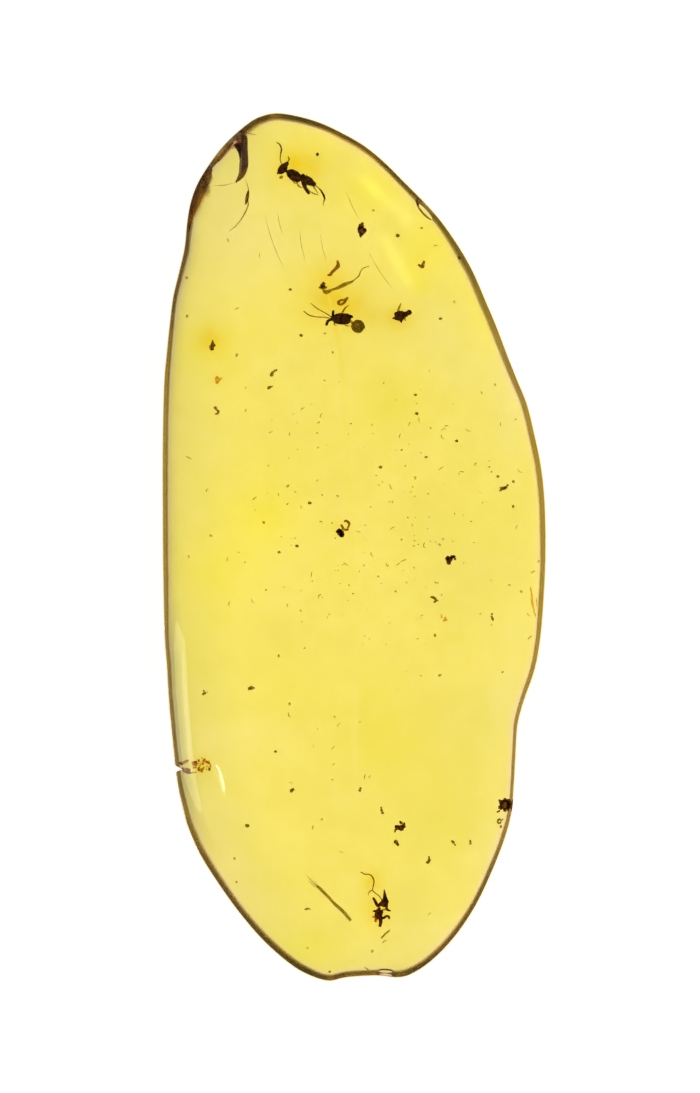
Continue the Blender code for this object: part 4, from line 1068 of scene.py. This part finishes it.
def build_debris(name, slot, nodes, materials, group_of):
    """The grains and threads of one kind, as one piece."""
    bm = bmesh.new()
    for node in nodes:
        middle, size = node_middle(node)
        group = group_of(node)
        if node in LUMPS:
            for i, (x, y, radius) in enumerate(LUMPS[node]):
                lump(bm, (x, y, middle.z), radius * 1.1, f"{node} {i}", group)
        elif node in STRANDS:
            for stations in STRANDS[node]:
                curve = [
                    (x, y, middle.z + 0.03 * math.sin(3 * x + 5 * y), radius) for x, y, radius in stations
                ]
                tube(bm, curve, sides=10, steps=6, group=group, frayed=0.22)
        elif node == "orange_crumb_patch":
            cluster(bm, middle.z)
        else:
            grain = (size.x * 0.85, size.y * 0.85, size.z * 0.8)
            ball(bm, middle, grain, bumps=0.5, seed=middle.x, group=group, detail=3)
    if slot == "bark":
        for i, (x, y, radius) in enumerate(SPARE_GRAINS):
            lump(bm, (x, y, 2.8), radius, f"spare {i}", 1)
    piece = make_object(bm, name, materials)
    dress(piece, nodes)


def cluster(bm, height):
    """Loose crumbs packed together beside the notch."""
    chance = random.Random(11)
    for i in range(CLUSTER_GRAINS):
        turn, reach = chance.uniform(0, math.tau), math.sqrt(chance.random())
        x = CLUSTER_CENTRE[0] + CLUSTER_HALF_SIZE[0] * reach * math.cos(turn)
        y = CLUSTER_CENTRE[1] + CLUSTER_HALF_SIZE[1] * reach * math.sin(turn)
        lump(bm, (x, y, height + chance.uniform(-0.12, 0.12)), chance.uniform(0.03, 0.065), f"cluster {i}", 0)
    for x, y, radius in CLUSTER_DARK_GRAINS:
        lump(bm, (x, y, height), radius, f"dark {x}", 1)


def make_debris():
    bark = tinted_material("bark", (0.08, 0.03, 0.004), (0.2, 0.09, 0.015))
    olive = tinted_material("olive_grain", (0.18, 0.12, 0.01), (0.36, 0.26, 0.05))
    fibre = tinted_material("plant_fibre", (0.22, 0.16, 0.02), (0.42, 0.32, 0.08), 5000)
    brown = tinted_material("brown_fibre", (0.2, 0.09, 0.01), (0.38, 0.2, 0.04), 5000)
    orange = tinted_material("orange_resin", (0.66, 0.42, 0.08), (0.92, 0.66, 0.3))
    by_slot = {"bark": [], "plant_fibre": [], "orange_resin": []}
    for part in frame["record"]["subparts"]:
        if part["material_slot"] in by_slot:
            by_slot[part["material_slot"]].append(part["node"])
    build_debris("bark_grains", "bark", by_slot["bark"], [bark, olive],
                 lambda node: 0 if node in DARK_GRAINS else 1)
    build_debris("plant_threads", "plant_fibre", by_slot["plant_fibre"], [fibre, brown],
                 lambda node: 1 if node in BROWN_STRANDS else 0)
    build_debris("orange_crumbs", "orange_resin", by_slot["orange_resin"], [orange, olive], lambda node: 0)


def make_cracks(crack, brown, rusty):
    bm = bmesh.new()
    for name, (width, height, level, points) in CRACKS.items():
        group = 2 if name in RUSTY_CRACKS else int(name in BROWN_CRACKS)
        sheet(bm, [(*point, level) for point in points], width, height, group)
    for start, end in SCRATCHES:
        bend = (0.03 * (end[1] - start[1]), 0.03 * (start[0] - end[0]))
        middle = ((start[0] + end[0]) / 2 + bend[0], (start[1] + end[1]) / 2 + bend[1])
        sheet(bm, [(*point, 4.4) for point in (start, middle, end)], 0.025, 0.06)
    piece = make_object(bm, "fine_cracks", [crack, brown, rusty])
    dress(piece, [])


# The sheets of painted shade over the groove and the broken edge, as one piece.
def make_shade_films(shade_film_material, brown):
    bm = bmesh.new()
    for name, (level, stations) in SHADE_FILMS.items():
        curve = curve_through(stations, 6)
        spots = [Vector((x, y, level)) for x, y, _ in curve]
        half_widths = [half_width for *_, half_width in curve]
        strip(bm, spots, half_widths, [SHADE_FILM_THICKNESS / 2] * len(curve), int(name in DARKEST_SHADE_FILMS))
    piece = make_object(bm, "brown_films", [shade_film_material, brown])
    dress(piece, [])


def sheet(bm, points, width, height, group=0):
    """An upright sheet along the points, which thins out at its ends and its upper and lower edges."""
    spots = [Vector(point) for point in curve_through(points, 6)]
    swells = []
    for i, spot in enumerate(spots):
        share = i / (len(spots) - 1)
        swell = 0.15 + 0.85 * math.sin(math.pi * share) ** 0.6
        swells.append(swell * (1 + 0.35 * noise.noise(spot * 3)))
    strip(bm, spots, [width / 2 * swell for swell in swells], [height / 2 * swell for swell in swells], group)


def make_dust(dust):
    chance = random.Random(7)
    bm = bmesh.new()
    for x, y in DUST:
        height = chance.uniform(1.6, 4.2)
        bearing = chance.uniform(0, 180)
        length = chance.uniform(0.12, 0.2)
        kind = chance.choice(("grain", "dash", "arc"))
        if kind == "grain":
            grain = (length, length * 0.7, length * 0.4)
            ball(bm, (x, y, height), grain, bearing, bumps=0.5, seed=x, detail=2)
            continue
        along = Vector((math.cos(math.radians(bearing)), math.sin(math.radians(bearing)), 0)) * length * 0.8
        bend = Vector((-along.y, along.x, 0)) * (0.5 if kind == "arc" else 0.1)
        middle = Vector((x, y, height))
        stations = [(*(middle - along), 0.016), (*(middle + bend), 0.03), (*(middle + along), 0.016)]
        tube(bm, stations, sides=5, steps=4)
    for _ in range(SPECK_COUNT):
        x, y = (chance.gauss(middle, spread_out) for middle, spread_out in zip(SPECK_MIDDLE, SPECK_SPREAD))
        if abs(x) > SPECK_HALF_WIDTH or not SPECK_REACH[0] <= y <= SPECK_REACH[1]:
            continue
        size = chance.uniform(0.06, 0.13)
        spot = (x, y, chance.uniform(1.2, 4.2))
        ball(bm, spot, (size, size * 0.6, size * 0.35), chance.uniform(0, 180), bumps=0.5, seed=x, detail=2)
    piece = make_object(bm, "fine_dust", [dust])
    dress(piece, [])


# The stage


def make_stage():
    bpy.ops.mesh.primitive_plane_add(size=3, location=(0, 0, -0.02 * MM))
    table = bpy.context.object
    table.name = "light_table"
    glow = bpy.data.materials.new("light_table")
    nodes, _ = nodes_of(glow)
    shader = nodes["Principled BSDF"]
    shader.inputs["Base Color"].default_value = (0.85, 0.85, 0.85, 1)
    shader.inputs["Roughness"].default_value = 0.9
    shader.inputs["Specular IOR Level"].default_value = 0
    shader.inputs["Emission Color"].default_value = (1, 1, 1, 1)
    shader.inputs["Emission Strength"].default_value = TABLE_GLOW
    glow.cycles.emission_sampling = "NONE"
    table.data.materials.append(glow)
    world = bpy.data.worlds.new("room")
    bpy.context.scene.world = world
    world.use_nodes = True
    nodes, links = world.node_tree.nodes, world.node_tree.links
    nodes["Background"].inputs["Color"].default_value = ROOM_COLOUR
    direction = nodes.new("ShaderNodeTexCoord")
    split = nodes.new("ShaderNodeSeparateXYZ")
    links.new(direction.outputs["Generated"], split.inputs[0])
    strength = spread(nodes, links, split.outputs["Z"], *CEILING_EDGE, *WALLS_TO_CEILING)
    links.new(strength, nodes["Background"].inputs["Strength"])


def make_lamp(name, place, target, size, along, radiance, colour):
    """A rectangular lamp at a place, aimed at a target, whose first side runs along a way in x and y."""
    data = bpy.data.lights.new(name, "AREA")
    data.shape = "RECTANGLE"
    data.size, data.size_y = (side * MM for side in size)
    data.energy = radiance * math.pi * data.size * data.size_y
    data.color = colour
    lamp = bpy.data.objects.new(name, data)
    back = (Vector(place) - Vector(target)).normalized()
    across = back.cross((*along, 0)).normalized()
    axes = Matrix((across.cross(back), across, back)).transposed()
    lamp.matrix_world = Matrix.Translation(Vector(place) * MM) @ axes.to_4x4()
    lamp.visible_diffuse = False
    lamp.visible_transmission = False
    bpy.context.scene.collection.objects.link(lamp)


def make_camera():
    data = bpy.data.cameras.new("camera")
    data.lens = LENS
    data.sensor_fit = "VERTICAL"
    data.sensor_height = SENSOR_HEIGHT
    data.clip_start = 0.001
    camera = bpy.data.objects.new("camera", data)
    distance = PHOTO_SIZE[1] * PIXEL * data.lens / data.sensor_height
    x = (PHOTO_SIZE[0] / 2 - SLAB_CENTRE_PIXEL[0]) * PIXEL
    y = (SLAB_CENTRE_PIXEL[1] - PHOTO_SIZE[1] / 2) * PIXEL
    camera.location = Vector((x, y, distance + RIM_HEIGHT)) * MM
    bpy.context.scene.collection.objects.link(camera)
    bpy.context.scene.camera = camera
    bpy.context.scene.view_settings.view_transform = "Standard"
    bpy.context.scene.cycles.max_bounces = 32
    bpy.context.scene.cycles.transmission_bounces = 32


def main():
    make_camera()
    make_stage()
    black = mottled_material("cuticle", (0.035, 0.013, 0.012), (0.16, 0.065, 0.045), 5000, (0.3, 0.5),
                             FINE_BUMP)
    red = mottled_material("red_cuticle", (0.04, 0.01, 0.004), (0.3, 0.07, 0.015), 5000, (0.3, 0.55),
                           FINE_BUMP)
    olive = tinted_material("olive_cuticle", (0.08, 0.055, 0.01), (0.22, 0.16, 0.04), 3000)
    thin = tinted_material("thin_cuticle", (0.2, 0.14, 0.02), (0.5, 0.38, 0.1), 6000)
    torn = tinted_material("torn_cuticle", (0.5, 0.2, 0.02), (0.8, 0.45, 0.1), 5000)
    crack = tinted_material("crack_film", (0.24, 0.19, 0.06), (0.55, 0.5, 0.3), 3000)
    # Brown cracks, and the darkest sheet of painted shade.
    brown = tinted_material("brown_crack", (0.12, 0.06, 0.02), (0.3, 0.18, 0.06), 3000)
    rusty = tinted_material("rusty_crack", (0.3, 0.11, 0.01), (0.6, 0.3, 0.05), 2500)
    # painted shade: a thin brown film laid over the groove and the broken edge
    shade_film_material = tinted_material("brown_film", (0.6, 0.43, 0.46), (0.78, 0.58, 0.66), 900)
    dust = tinted_material("dust", (0.38, 0.31, 0.08), (0.72, 0.66, 0.42), 3000)
    make_slab()
    for name, settings in LAMPS.items():
        make_lamp(name, *settings)
    make_insect_in_profile(black, thin)
    make_long_horned_insect(black, olive, thin)
    make_curled_insect(black, red, thin)
    make_crumpled_insect(red, torn, thin)
    make_debris()
    make_cracks(crack, brown, rusty)
    make_shade_films(shade_film_material, brown)
    make_dust(dust)


main()
